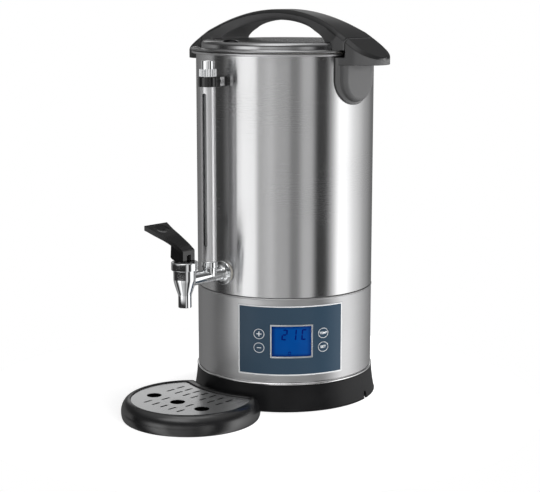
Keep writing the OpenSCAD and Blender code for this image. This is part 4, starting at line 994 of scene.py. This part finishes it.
def build_screws(name, node, body):
    """Pan-head screws on the places of a node, with their heads down and a cross in each head."""
    crown_h, head_h, shaft_h = 0.8, 2.4, 8.0
    cross_l, cross_w, cross_h = 4.2, 1.0, 2.4
    neck_h = head_h - crown_h
    made = new_object(name, raw_mesh(name, screw_places(node)))
    p = Pattern(name, SCREW_STEEL)
    head_r = p.size("Head radius", 3.6 * MM)
    shaft_r = p.size("Shaft radius", 1.9 * MM)
    crown_r = p.size("Crown radius", 2.8 * MM)
    radii = {"Radius Top": head_r, "Radius Bottom": crown_r}
    crown = p.node("MeshCone", radii, Vertices=32, Depth=crown_h * MM).outputs["Mesh"]
    neck = p.node("MeshCylinder", {"Radius": head_r}, Vertices=32, Depth=neck_h * MM).outputs["Mesh"]
    shaft = p.node("MeshCylinder", {"Radius": shaft_r}, Vertices=20, Depth=shaft_h * MM).outputs["Mesh"]
    whole = p.joined(crown, p.shifted(neck, 0, 0, crown_h + neck_h / 2),
                     p.shifted(shaft, 0, 0, head_h + shaft_h / 2))
    recess = p.node("MeshBoolean", {"Mesh 1": whole})
    recess.operation = "DIFFERENCE"
    for size in ((cross_l, cross_w, cross_h), (cross_w, cross_l, cross_h)):
        p.feed(recess.inputs["Mesh 2"], p.node("MeshCube", Size=Vector(size) * MM).outputs["Mesh"])
    p.run(made, p.copies(p.given, recess.outputs["Mesh"]))
    dress(made, body, SCREW_STEEL, node, slot="screw_steel")


# Drip tray and grille

TRAY_C = -168.0
TRAY_R = 84.0
NEST_R = BASE_R + 0.8
GRILLE_R = TRAY_R - 12
GRILLE_NEST = NEST_R + 17


def bitten_outline(r_out, r_in, corner):
    """A disc about the tray's middle with a bite about the urn's axis, round at its two corners."""
    a, b = r_in + corner, r_out - corner
    y = (a * a + TRAY_C * TRAY_C - b * b) / (2 * -TRAY_C)
    at = (math.sqrt(a * a - y * y), -y)
    out_angle = math.degrees(math.atan2(at[1] - TRAY_C, at[0]))
    in_angle = math.degrees(math.atan2(-at[1], -at[0]))
    big, small, nest = 120, 14, 60
    points = arc((0, TRAY_C), r_out, -180 - out_angle, out_angle, big)[:-1]
    points += arc(at, corner, out_angle, in_angle + (360 if in_angle < out_angle else 0), small)[:-1]
    start = math.degrees(math.atan2(at[1], at[0]))
    points += arc((0, 0), r_in, start, -180 - start, nest)[:-1]
    mirrored = (-at[0], at[1])
    begin = math.degrees(math.atan2(-mirrored[1], -mirrored[0]))
    end = 180 - out_angle
    points += arc(mirrored, corner, begin, end if end > begin else end + 360, small)[:-1]
    return points


def build_tray():
    """The tray: a rolled body with a ledge for the grille and a basin under it."""
    edge, corner, tuck, under_steps, over_steps = 11.0, 12.0, 2.5, 8, 16
    belly_z = 0.36 * TRAY_H
    ledge_z = GRILLE_Z - 0.2
    levels = []

    def level(r_out, r_in, round_r, z):
        levels.append([(x, y, z) for x, y in bitten_outline(r_out, r_in, round_r)])

    def skin(inset, z):
        level(TRAY_R - inset, NEST_R + inset, corner - inset, z)

    for k in range(under_steps):
        a = math.radians(90 - 90 * k / under_steps)
        skin(tuck * (1 - math.cos(a)), belly_z * (1 - math.sin(a)))
    for k in range(over_steps + 1):
        a = math.radians(90 * k / over_steps)
        skin(edge * (1 - math.cos(a)), belly_z + (TRAY_H - belly_z) * math.sin(a))
    mouth, recess, basin, floor = (0.8, 7.8), (0.3, 7.3), (-3.0, 5.5), (-4.5, 4.0)
    for (grow, round_r), z in ((mouth, TRAY_H), (recess, TRAY_H - 0.5), (recess, ledge_z), (basin, ledge_z),
                               (basin, 4.5), (floor, 3.0)):
        level(GRILLE_R + grow, GRILLE_NEST - grow, round_r, z)
    made = shape_object("tray_body", loft(levels))
    dress(made, "tray", TRAY_BLACK, "drip_tray", slot="black_plastic")


def build_grille():
    """A thin plate with round holes and rows of slots, filled from outlines by geometry nodes."""
    corner, on_outline, on_slot, on_hole = 7.0, 0, 1, 2
    outline = bitten_outline(GRILLE_R, GRILLE_NEST, corner)
    n = len(outline)
    hole_y, hole_pitch, slot_pitch = TAP_Y - 14, 41.0, 14.0
    rows = [(-GRILLE_NEST - 11, 3), (-GRILLE_NEST - 28, 3), (hole_y - 22, 2)]
    slots = [(i * slot_pitch, y) for y, k in rows for i in range(-k, k + 1)]
    slots += [(s * hole_pitch / 2, hole_y) for s in (-1, 1)]
    holes = [(i * hole_pitch, hole_y) for i in (-1, 0, 1)]
    points = [(x, y, GRILLE_Z) for x, y in outline + slots + holes]
    mesh = raw_mesh("grille_plate", points, [(i, (i + 1) % n) for i in range(n)])
    kind = mesh.attributes.new("kind", "INT", "POINT")
    kinds = [on_outline] * n + [on_slot] * len(slots) + [on_hole] * len(holes)
    kind.data.foreach_set("value", kinds)
    made = new_object("grille_plate", mesh)
    p = Pattern("grille_pattern", GRILLE_STEEL)
    slot_w = p.size("Slot width", 3.0 * MM)
    slot_l = p.size("Slot length", 13.0 * MM)
    hole_r = p.size("Hole radius", 9.0 * MM)
    thick = p.size("Thickness", span("drip_grille").z * MM)
    label = p.node("InputNamedAttribute", Name="kind")
    label.data_type = "INT"
    number = next(s for s in label.outputs if s.type == "INT" and s.enabled)

    def chosen(value):
        """The points of one kind."""
        same = p.tree.nodes.new("FunctionNodeCompare")
        same.data_type = "INT"
        same.operation = "EQUAL"
        whole_numbers = [s for s in same.inputs if s.type == "INT"]
        p.feed(whole_numbers[0], number)
        whole_numbers[1].default_value = value
        parted = p.node("SeparateGeometry", {"Geometry": p.given, "Selection": same.outputs["Result"]})
        return parted.outputs["Selection"]

    edge = p.node("MeshToCurve", {"Mesh": chosen(on_outline)})
    oblong = p.node("CurvePrimitiveQuadrilateral", {"Width": slot_w, "Height": slot_l})
    end_r = add_node(p.tree, "ShaderNodeMath", slot_w, 0.495, operation="MULTIPLY")
    slot = p.node("FilletCurve", {"Curve": oblong.outputs["Curve"], "Radius": end_r.outputs[0]})
    slot.mode = "POLY"
    slot.inputs["Count"].default_value = 6
    disc = p.node("CurvePrimitiveCircle", {"Radius": hole_r}, Resolution=40)
    lines = p.joined(edge.outputs["Curve"], p.copies(chosen(on_slot), slot.outputs["Curve"]),
                     p.copies(chosen(on_hole), disc.outputs["Curve"]))
    flat = p.node("RealizeInstances", {"Geometry": lines})
    sheet = p.node("FillCurve", {"Curve": flat.outputs["Geometry"]}).outputs["Mesh"]
    tall = p.node("ExtrudeMesh", {"Mesh": sheet, "Offset Scale": thick}, Individual=False)
    under = p.node("FlipFaces", {"Mesh": sheet})
    p.run(made, p.joined(tall.outputs["Mesh"], under.outputs["Mesh"]))
    lowest = min(v.co.z for v in made.data.vertices)
    made.data.transform(Matrix.Translation((0, 0, GRILLE_Z * MM - lowest)))
    tidy_mesh(made.data)
    bevel(made, 0.4, 2, 50)
    dress(made, "grille", GRILLE_STEEL, "drip_grille", slot="grille_steel")


# Lid and handles

LID_FLANGE = RIM_Z + 1.8
SHOULDER_R = TANK_R - SHEET + 1
LID_ROUND = 5.0
LID_FILLET = 2.5
LID_ROLL = 1.2
ROLL_REACH = 2.6
ROLL_RISE = 1.4
VENT_LEN = 15.0
VENT_W = 6.0
VENT_Y = -(SHOULDER_R - LID_ROUND - 5)


def lid_outside():
    """The outside of the lid as (radius, height), from its flange to its flat top."""
    n = 10
    points = arc((SHOULDER_R + LID_FILLET, LID_FLANGE + LID_FILLET), LID_FILLET, -90, -180, n)
    points += arc((SHOULDER_R - LID_ROUND, PLATEAU_Z - LID_ROUND), LID_ROUND, 0, 90, n)
    return points


def lid_height(r):
    """Height of the lid's outside at a radius."""
    if r <= SHOULDER_R - LID_ROUND:
        return PLATEAU_Z
    points = lid_outside()[::-1]
    for (r0, z0), (r1, z1) in zip(points, points[1:]):
        if r <= r1:
            return z0 + (z1 - z0) * (r - r0) / max(r1 - r0, 1e-6)
    return LID_FLANGE if r < LID_R - ROLL_REACH else LID_FLANGE + ROLL_RISE


def build_lid():
    """The lid with its rolled flange, its plug inside the tank and the slot of the vent."""
    plug_r, plug_z, plug_top = SHOULDER_R - 2.2, low("lid_shell").z, LID_FLANGE + 3.4
    profile = arc((LID_R - LID_ROLL, LID_FLANGE), LID_ROLL, -120, 140, 16) + lid_outside() + [(0, PLATEAU_Z)]
    profile += [(0, PLATEAU_Z - SHEET), (SHOULDER_R - LID_ROUND, PLATEAU_Z - SHEET)]
    profile += arc((SHOULDER_R - LID_ROUND, PLATEAU_Z - LID_ROUND), LID_ROUND - SHEET, 90, 0, 6)
    profile += [(SHOULDER_R - SHEET, plug_top), (plug_r - SHEET, plug_top), (plug_r - SHEET, plug_z),
                (plug_r, plug_z), (plug_r, LID_FLANGE + 1.6), (SHOULDER_R, LID_FLANGE + 1.2),
                (SHOULDER_R + LID_FILLET, LID_FLANGE - SHEET), (LID_R - 2 * LID_ROLL, LID_FLANGE - SHEET)]
    made = shape_object("lid_dome", revolve(profile))
    gap, r = (VENT_LEN - VENT_W) / 2, VENT_W / 2
    outline = arc((gap, VENT_Y), r, -90, 90, 12) + arc((-gap, VENT_Y), r, 90, 270, 12)
    cut(made, prism(outline, PLATEAU_Z - 3, PLATEAU_Z + 3))
    dress(made, "lid", DARKENED_LID_STEEL, "lid_shell", slot="lid_steel", sharp=50)


def build_vent_hood():
    """The pressed hood over the steam vent, a quarter of an ellipsoid that is open to the outside."""
    half, deep, tall, wall = VENT_LEN / 2 + 5, 9.0, 3.0, 0.5
    mouth, foot = VENT_Y - VENT_W / 2, PLATEAU_Z - 0.1
    cols, rows = 32, 8
    verts = []
    for i in range(rows + 1):
        b = math.radians(90 * i / rows)
        for k in range(cols + 1):
            a = math.radians(180 * k / cols)
            y, z = deep * math.sin(a) * math.sin(b), tall * math.sin(a) * math.cos(b)
            verts.append((half * math.cos(a), mouth + y, foot + z))
    made = shape_object("vent_hood", (verts, grid_faces(rows + 1, cols + 1, close_cols=False)))
    modify(made, "SOLIDIFY", thickness=wall * MM, offset=-1)
    dress(made, "lid", DARKENED_LID_STEEL, slot="lid_steel", sharp=50)


ARCH_END = 17.5
ARCH_FOOT = 32.0
FINGER_H = 24.5
GRIP_W = 58.0
WAIST_W = 36.0
TOP_EDGE = 6.0
TOP_DROP = 4.5


def build_arch():
    """The arch of the lid's handle: feet that follow the lid, a waist and a finger gap."""
    gap_half = ARCH_R - ARCH_FOOT
    belly_half = gap_half - 22
    drop = ARCH_TOP - RIM_Z - ARCH_END
    bend = (ARCH_R ** 2 + drop ** 2) / (2 * drop)
    end_round, bulge, gap_curve, waist_curve = 0.9, 0.35, 0.75, 2.2
    foot_ease, edge_ease, belly_y, belly_z = 0.6, 1.2, 8.0, 6.0
    seat_band, seat_gap, seat_squeeze = 1.5, 0.25, 0.4
    crease_least, crease_most, crease_foot, crease_slope = 90.0, 112.0, 92.0, 0.8
    under_steps, side_steps, top_steps = 6, 8, 5

    def top_z(x):
        return ARCH_TOP - bend + math.sqrt(bend * bend - x * x)

    def low_z(x):
        inside = 1 - (x / gap_half) ** 2
        return PLATEAU_Z + FINGER_H * inside ** gap_curve if inside > 0 else PLATEAU_Z

    def half_w(x, z):
        """Straight cheeks at the feet, drawn in to the waist from a slanted crease."""
        slanted = crease_foot + crease_slope * (z - LID_FLANGE)
        crease = min(crease_most, max(crease_least, slanted))
        drawn = max(0.0, 1 - (abs(x) / crease) ** waist_curve)
        return GRIP_W / 2 - (GRIP_W - WAIST_W) / 2 * drawn

    def section(x):
        """A cross-section: a round underside, upright sides and a flat top with soft edges."""
        past = max(0.0, abs(x) - (ARCH_R - end_round)) / end_round
        shrink = end_round * (1 - math.sqrt(max(0.0, 1 - past * past)))
        top, floor = top_z(x) - shrink, low_z(x)
        foot = abs(x) > gap_half
        belly = math.sqrt(max(0.0, 1 - (x / belly_half) ** 2))
        ease_y = foot_ease if foot else edge_ease + belly_y * belly
        ease_z = foot_ease if foot else edge_ease + belly_z * belly
        side_low, side_top = floor + ease_z, top - TOP_DROP
        w = half_w(x, side_low) - shrink
        half = []
        for k in range(under_steps):
            a = math.radians(90 * k / under_steps)
            half.append((w - ease_y + ease_y * math.sin(a), side_low - ease_z * math.cos(a)))
        heights = [side_low + (side_top - side_low) * k / side_steps for k in range(side_steps + 1)]
        half += [(half_w(x, z) - shrink, z) for z in heights]
        flat, edge = half_w(x, top) - shrink - TOP_EDGE, half[-1][0]
        for k in range(1, top_steps + 1):
            t = k / top_steps
            a = math.radians(90 * t)
            straight = (edge + (flat - edge) * t, side_top + TOP_DROP * t)
            curved = (flat + (edge - flat) * math.cos(a), side_top + TOP_DROP * math.sin(a))
            half.append(tuple(s + (c - s) * bulge for s, c in zip(straight, curved)))
        seated = []
        for y, z in half + [(-y, z) for y, z in half[::-1]]:
            if foot and z < floor + seat_band:
                z = lid_height(math.hypot(x, y)) + seat_gap + (z - floor) * seat_squeeze
            seated.append((x, y, z))
        return seated

    turns = [gap_half * math.sin(math.radians(-89.2 + 178.4 * i / 64)) for i in range(65)]
    foot_from, foot_to = gap_half + 0.05, ARCH_R - end_round
    feet = [foot_from + (foot_to - foot_from) * i / 24 for i in range(25)]
    feet += [ARCH_R - end_round * (1 - math.sin(math.radians(a))) for a in (25, 50, 70, 90)]
    stations = [-x for x in feet[::-1]] + turns + feet
    made = shape_object("arch_handle", loft([section(x) for x in stations]))
    dress(made, "lid", HANDLE_BLACK, "lid_handle", slot="black_plastic", sharp=40)


GRIP_R = ARCH_R + 1.5
GRIP_LEN = 36.0
GRIP_WALL = 3.5
LIP_Z = RIM_Z - 13.8
LIP_CREST = RIM_Z + ARCH_END - 0.5
LIP_FALL = 22.0
LIP_STRAIGHT = 0.32
LIP_TIP = 0.045
LIP_EASE = 1.5
BEAD_ROOM = RIM_Z - 4.8


def lip_section(u, inset=0.0, below=0.0):
    """A cross-section of a grip's lip: upright cheeks, a chamfer and a flat top."""
    e = max(0.0, (u - LIP_STRAIGHT) / (1 - LIP_STRAIGHT))
    w = GRIP_W / 2 * max(LIP_TIP, math.sqrt(1 - e * e)) - inset
    foot, top = LIP_Z - below, LIP_CREST - LIP_FALL * u - inset
    side = top - TOP_DROP + LIP_EASE * u
    edge = min(TOP_EDGE, w / 2)
    outline = [(w, foot), (-w, foot), (-w, side), (edge - w, top), (w - edge, top), (w, side)]
    return [(GRIP_R + GRIP_LEN * u, y, z) for y, z in outline]


def tab(w, foot, top, x0, x1):
    """A plate on the wall with a round foot, between two distances from the axis."""
    outline = [(w / 2, top), (-w / 2, top)] + arc((0, foot + w / 2), w / 2, 180, 360, 40)
    return loft([[(x, y, z) for y, z in outline] for x in (x0, x1)])


def build_grip(side):
    """A side grip: a hollow lip, a boss under it and a plate bent round the wall."""
    node = "grip_" + side
    hollow_from, hollow_len, hollow_steps = 0.16, 0.7, 20
    steps = [-0.4, 0.0, hollow_from] + [LIP_STRAIGHT + 0.6 * i / 14 for i in range(15)]
    steps += [0.945, 0.965, 0.98, 0.99, 0.997, 1.0]
    made = shape_object(node, loft([lip_section(u) for u in steps]))
    plate_r, boss_r, wall_r = BODY_R + 3.3, BODY_R + 10.5, BODY_R + 0.15
    plate_w, plate_z, boss_w, boss_z = 62.0, RIM_Z - 62, 54.0, RIM_Z - 58
    below, above, far_above, aside = 300, 480, 520, 40
    plate = shape_object("plate", tab(plate_w, plate_z, BEAD_ROOM, 60, 130))
    cut(plate, rod(plate_r, below, above), operation="INTERSECT")
    boss = shape_object("boss", tab(boss_w, boss_z, LIP_Z + 4, BODY_R - 6, boss_r))
    bevel(boss, 5.0, 6, 50)
    for extra in (plate, boss):
        combine(made, extra, "UNION")
    hollow = [hollow_from + hollow_len * i / hollow_steps for i in range(hollow_steps + 1)]
    cut(made, rod(wall_r, below, far_above), box(0, GRIP_R, -aside, aside, BEAD_ROOM, far_above),
        loft([lip_section(u, GRIP_WALL, 2.0) for u in hollow]))
    melt(made, 0.7, 6)
    if side == "left":
        made.data.transform(Matrix.Rotation(math.pi, 4, "Z"))
    dress(made, "urn", HANDLE_BLACK, node, slot="black_plastic", sharp=60)


# Pieces that keep their shape from the frame

CARRIED = {
    "base_plate": DARK_PLASTIC,
    "foot_ring": FOOT_RUBBER,
    "power_inlet": DARK_PLASTIC,
    "inlet_pins": PIN_BRASS,
    "display_module": DARK_PLASTIC,
    "control_board": BOARD,
    "heater_plate": CAST_ALUMINIUM,
    "heating_element": ELEMENT_STEEL,
    "thermal_cutout": CERAMIC,
    "temperature_probe": TANK_STEEL,
    "shank_nut": TANK_STEEL,
    "shank_seals": SILICONE,
    "tap_spring": ELEMENT_STEEL,
    "cam_washer": LEVER_BLACK,
    "tap_stem": TANK_STEEL,
    "seat_cup": RED_SILICONE,
    "lever_pin": SCREW_STEEL,
    "gauge_seals": RED_SILICONE,
    "lid_gasket": SILICONE,
    "bracket_screw": SCREW_STEEL,
    "wall_screws": SCREW_STEEL,
}


def carry_over():
    """Smooth copies of the pieces whose shape is right already."""
    record = frame["record"]
    slots = {s["node"]: s["material_slot"] for s in record["subparts"]}
    bodies = {n: b for b, nodes in record["behaviour"]["bodies"].items() for n in nodes}
    for node, material in CARRIED.items():
        mesh = frame["nodes"][node].data.copy()
        made = new_object(node + "_part", mesh)
        bm = bmesh.new()
        bm.from_mesh(mesh)
        bmesh.ops.remove_doubles(bm, verts=bm.verts, dist=0.001 * MM)
        bm.to_mesh(mesh)
        bm.free()
        dress(made, bodies[node], material, node, slot=slots[node], sharp=30)


# Studio, with the camera and lamps placed in metres

CAMERA_AZ = math.radians(42.0)
CAMERA_AWAY = 1.739
CAMERA_Z = 0.507
CAMERA_DOWN = math.radians(10.47)
CAMERA_LEFT = math.radians(0.61)
FOCAL_PIXELS = 1393.0
PICTURE_W = 540.0
SENSOR = 36.0
LAMP_AIM_Z = 0.24

# What polished metal shows: brightness by the angle from the camera to the right
STUDIO_BANDS = [
    (-180, 0.1), (-150, 0.2), (-125, 0.35), (-112, 0.5), (-106, 0.4), (-101, 0.03), (-87, 0.05),
    (-74, 0.4), (-65, 1.4), (-56, 1.9), (-38, 1.75), (-35, 0.64), (-18, 1.0), (-10, 0.68), (5, 0.64),
    (8, 0.34), (17, 0.32), (24, 0.72), (35, 0.74), (42, 0.03), (56, 0.03), (66, 0.8), (75, 2.0),
    (86, 1.95), (100, 1.25), (125, 0.55), (150, 0.2), (180, 0.1),
]

# Grey cards laid over the bands in turn: cover by angle, cover by the sine of the height, and brightness
ALL_ROUND = ((-180, 1.0), (180, 1.0))
DIM_ROOM = (ALL_ROUND, ((0.08, 0.0), (0.24, 1.0)), 0.12)
CEILING = (ALL_ROUND, ((0.5, 0.0), (0.9, 1.0)), 0.6)
TOP_LIGHT = (ALL_ROUND, ((0.93, 0.0), (0.97, 1.0)), 1.8)
BACK_SCREEN = (((-165, 1.0), (-152, 0.0), (152, 0.0), (165, 1.0)),
               ((0.18, 0.0), (0.23, 1.0), (0.34, 1.0), (0.42, 0.0)), 0.85)
SOFT_BOX = (((-70, 0.0), (-50, 1.0), (-10, 1.0), (20, 0.0)),
            ((0.64, 0.0), (0.7, 1.0), (0.92, 1.0), (0.96, 0.0)), 2.1)
DARK_STRIP = (((-135, 0.0), (-120, 1.0), (10, 1.0), (22, 0.0)),
              ((-0.26, 0.0), (-0.245, 1.0), (-0.185, 1.0), (-0.172, 0.0)), 0.03)
STUDIO_CARDS = (DIM_ROOM, CEILING, TOP_LIGHT, BACK_SCREEN, SOFT_BOX, DARK_STRIP)
LOW_DIMMING = ((-0.6, 0.7), (-0.25, 1.0))
DIFFUSE_LIGHT = 0.14


def aim(made, direction):
    """Points a camera or lamp along a direction."""
    made.rotation_mode = "QUATERNION"
    made.rotation_quaternion = direction.to_track_quat("-Z", "Y")


def build_camera():
    data = bpy.data.cameras.new("camera")
    data.sensor_width = SENSOR
    data.lens = FOCAL_PIXELS / PICTURE_W * SENSOR
    camera = new_object("camera", data)
    across = Vector((math.cos(CAMERA_AZ), math.sin(CAMERA_AZ), 0))
    away = Vector((-math.sin(CAMERA_AZ), math.cos(CAMERA_AZ), 0))
    forward = (away * math.cos(CAMERA_LEFT) - across * math.sin(CAMERA_LEFT)) * math.cos(CAMERA_DOWN)
    forward.z = -math.sin(CAMERA_DOWN)
    camera.location = -away * CAMERA_AWAY + Vector((0, 0, CAMERA_Z))
    aim(camera, forward)
    bpy.context.scene.camera = camera


def build_world():
    """White to the camera, plain to matt surfaces, and a room of bands and cards to mirrors and glass."""
    world = bpy.data.worlds.new("studio")
    bpy.context.scene.world = world
    world.use_nodes = True
    tree = world.node_tree
    tree.nodes.clear()

    def maths(operation, *inputs):
        return add_node(tree, "ShaderNodeMath", *inputs, operation=operation).outputs[0]

    def share(*inputs):
        return add_node(tree, "ShaderNodeMapRange", *inputs, 0.0, 1.0).outputs["Result"]

    def white(strength):
        made = add_node(tree, "ShaderNodeBackground", None, strength)
        made.inputs["Color"].default_value = (1, 1, 1, 1)
        return made.outputs[0]

    def mixed(*inputs):
        return add_node(tree, "ShaderNodeMixShader", *inputs).outputs[0]

    where = add_node(tree, "ShaderNodeTexCoord")
    split = add_node(tree, "ShaderNodeSeparateXYZ", where.outputs["Generated"])
    azimuth = maths("ARCTAN2", split.outputs["X"], maths("MULTIPLY", split.outputs["Y"], -1.0))
    from_camera = maths("WRAP", maths("ADD", azimuth, -CAMERA_AZ), math.pi, -math.pi)
    angle_share = share(from_camera, -math.pi, math.pi)
    height_share = share(split.outputs["Z"], -1.0, 1.0)

    def ramp(source, stops):
        made = add_node(tree, "ShaderNodeValToRGB", source)
        fill_ramp(made.color_ramp, [(at, (grey, grey, grey)) for at, grey in stops])
        return made.outputs["Color"]

    def by_angle(stops):
        return ramp(angle_share, [(degrees / 360 + 0.5, grey) for degrees, grey in stops])

    def by_height(stops):
        return ramp(height_share, [(sine / 2 + 0.5, grey) for sine, grey in stops])

    def over(under, angles, heights, grey):
        """Lays a plain grey card over the room."""
        made = add_node(tree, "ShaderNodeMix", maths("MULTIPLY", by_angle(angles), by_height(heights)))
        made.data_type = "RGBA"
        below, above = [s for s in made.inputs if s.type == "RGBA"]
        tree.links.new(under, below)
        above.default_value = (grey, grey, grey, 1)
        return next(s for s in made.outputs if s.type == "RGBA")

    room = by_angle(STUDIO_BANDS)
    for card in STUDIO_CARDS:
        room = over(room, *card)
    mirror = add_node(tree, "ShaderNodeBackground", room, by_height(LOW_DIMMING)).outputs[0]
    path = add_node(tree, "ShaderNodeLightPath").outputs
    shiny = maths("MAXIMUM", path["Is Glossy Ray"], path["Is Transmission Ray"])
    lit = mixed(shiny, white(DIFFUSE_LIGHT), mirror)
    seen = mixed(path["Is Camera Ray"], lit, white(1.0))
    add_node(tree, "ShaderNodeOutputWorld", seen)


def build_floor():
    """A small round table top, near white to the eye and left out of mirrors, for the soft shadow."""
    r, y, z, steps, glow = 360, -60, -0.3, 96, 0.82
    turns = [TURN * k / steps for k in range(steps)]
    rim = [(r * math.cos(t), r * math.sin(t) + y, z) for t in turns]
    mesh = raw_mesh("floor", rim, faces=[tuple(range(steps))])
    floor = new_object("floor", mesh)
    f = Finish("floor_white", (0.6, 0.6, 0.6), 0.9, Specular_IOR_Level=0.0, Emission_Color=(1, 1, 1, 1))
    seen = f.node("ShaderNodeLightPath").outputs["Is Camera Ray"]
    f.link(f.span(seen, 0.0, 1.0, 0.0, glow), f.shader.inputs["Emission Strength"])
    mesh.materials.append(f.material)
    floor.visible_glossy = False


def build_lamp(name, azimuth, elevation, away, size, watts):
    """A soft lamp that looks at the middle of the urn; the azimuth counts from the camera to the right."""
    data = bpy.data.lights.new(name, "AREA")
    data.shape = "RECTANGLE"
    data.size, data.size_y = size
    data.energy = watts
    lamp = new_object(name, data)
    a = CAMERA_AZ + math.radians(azimuth)
    e = math.radians(elevation)
    target = Vector((0, 0, LAMP_AIM_Z))
    out = Vector((math.sin(a) * math.cos(e), -math.cos(a) * math.cos(e), math.sin(e)))
    lamp.location = target + out * away
    aim(lamp, -out)
    lamp.visible_camera = False
    lamp.visible_glossy = False


bpy.context.scene.view_settings.view_transform = "Standard"
build_camera()
build_world()
build_floor()
build_lamp("right_lamp", 112, 4, 1.3, (0.8, 0.9), 30)
build_lamp("front_lamp", 18, 8, 2.4, (1.4, 1.0), 60)
build_base()
build_trim()
build_skirt()
build_wall()
build_tank()
build_fascia()
build_keys()
build_display()
build_tap()
build_shank()
build_lever()
build_gauge()
build_bracket()
build_cap()
build_tray()
build_grille()
build_lid()
build_vent_hood()
build_arch()
build_grip("right")
build_grip("left")
build_screws("base_screw_set", "base_screws", "urn")
build_screws("lid_screw_set", "lid_screws", "lid")
carry_over()
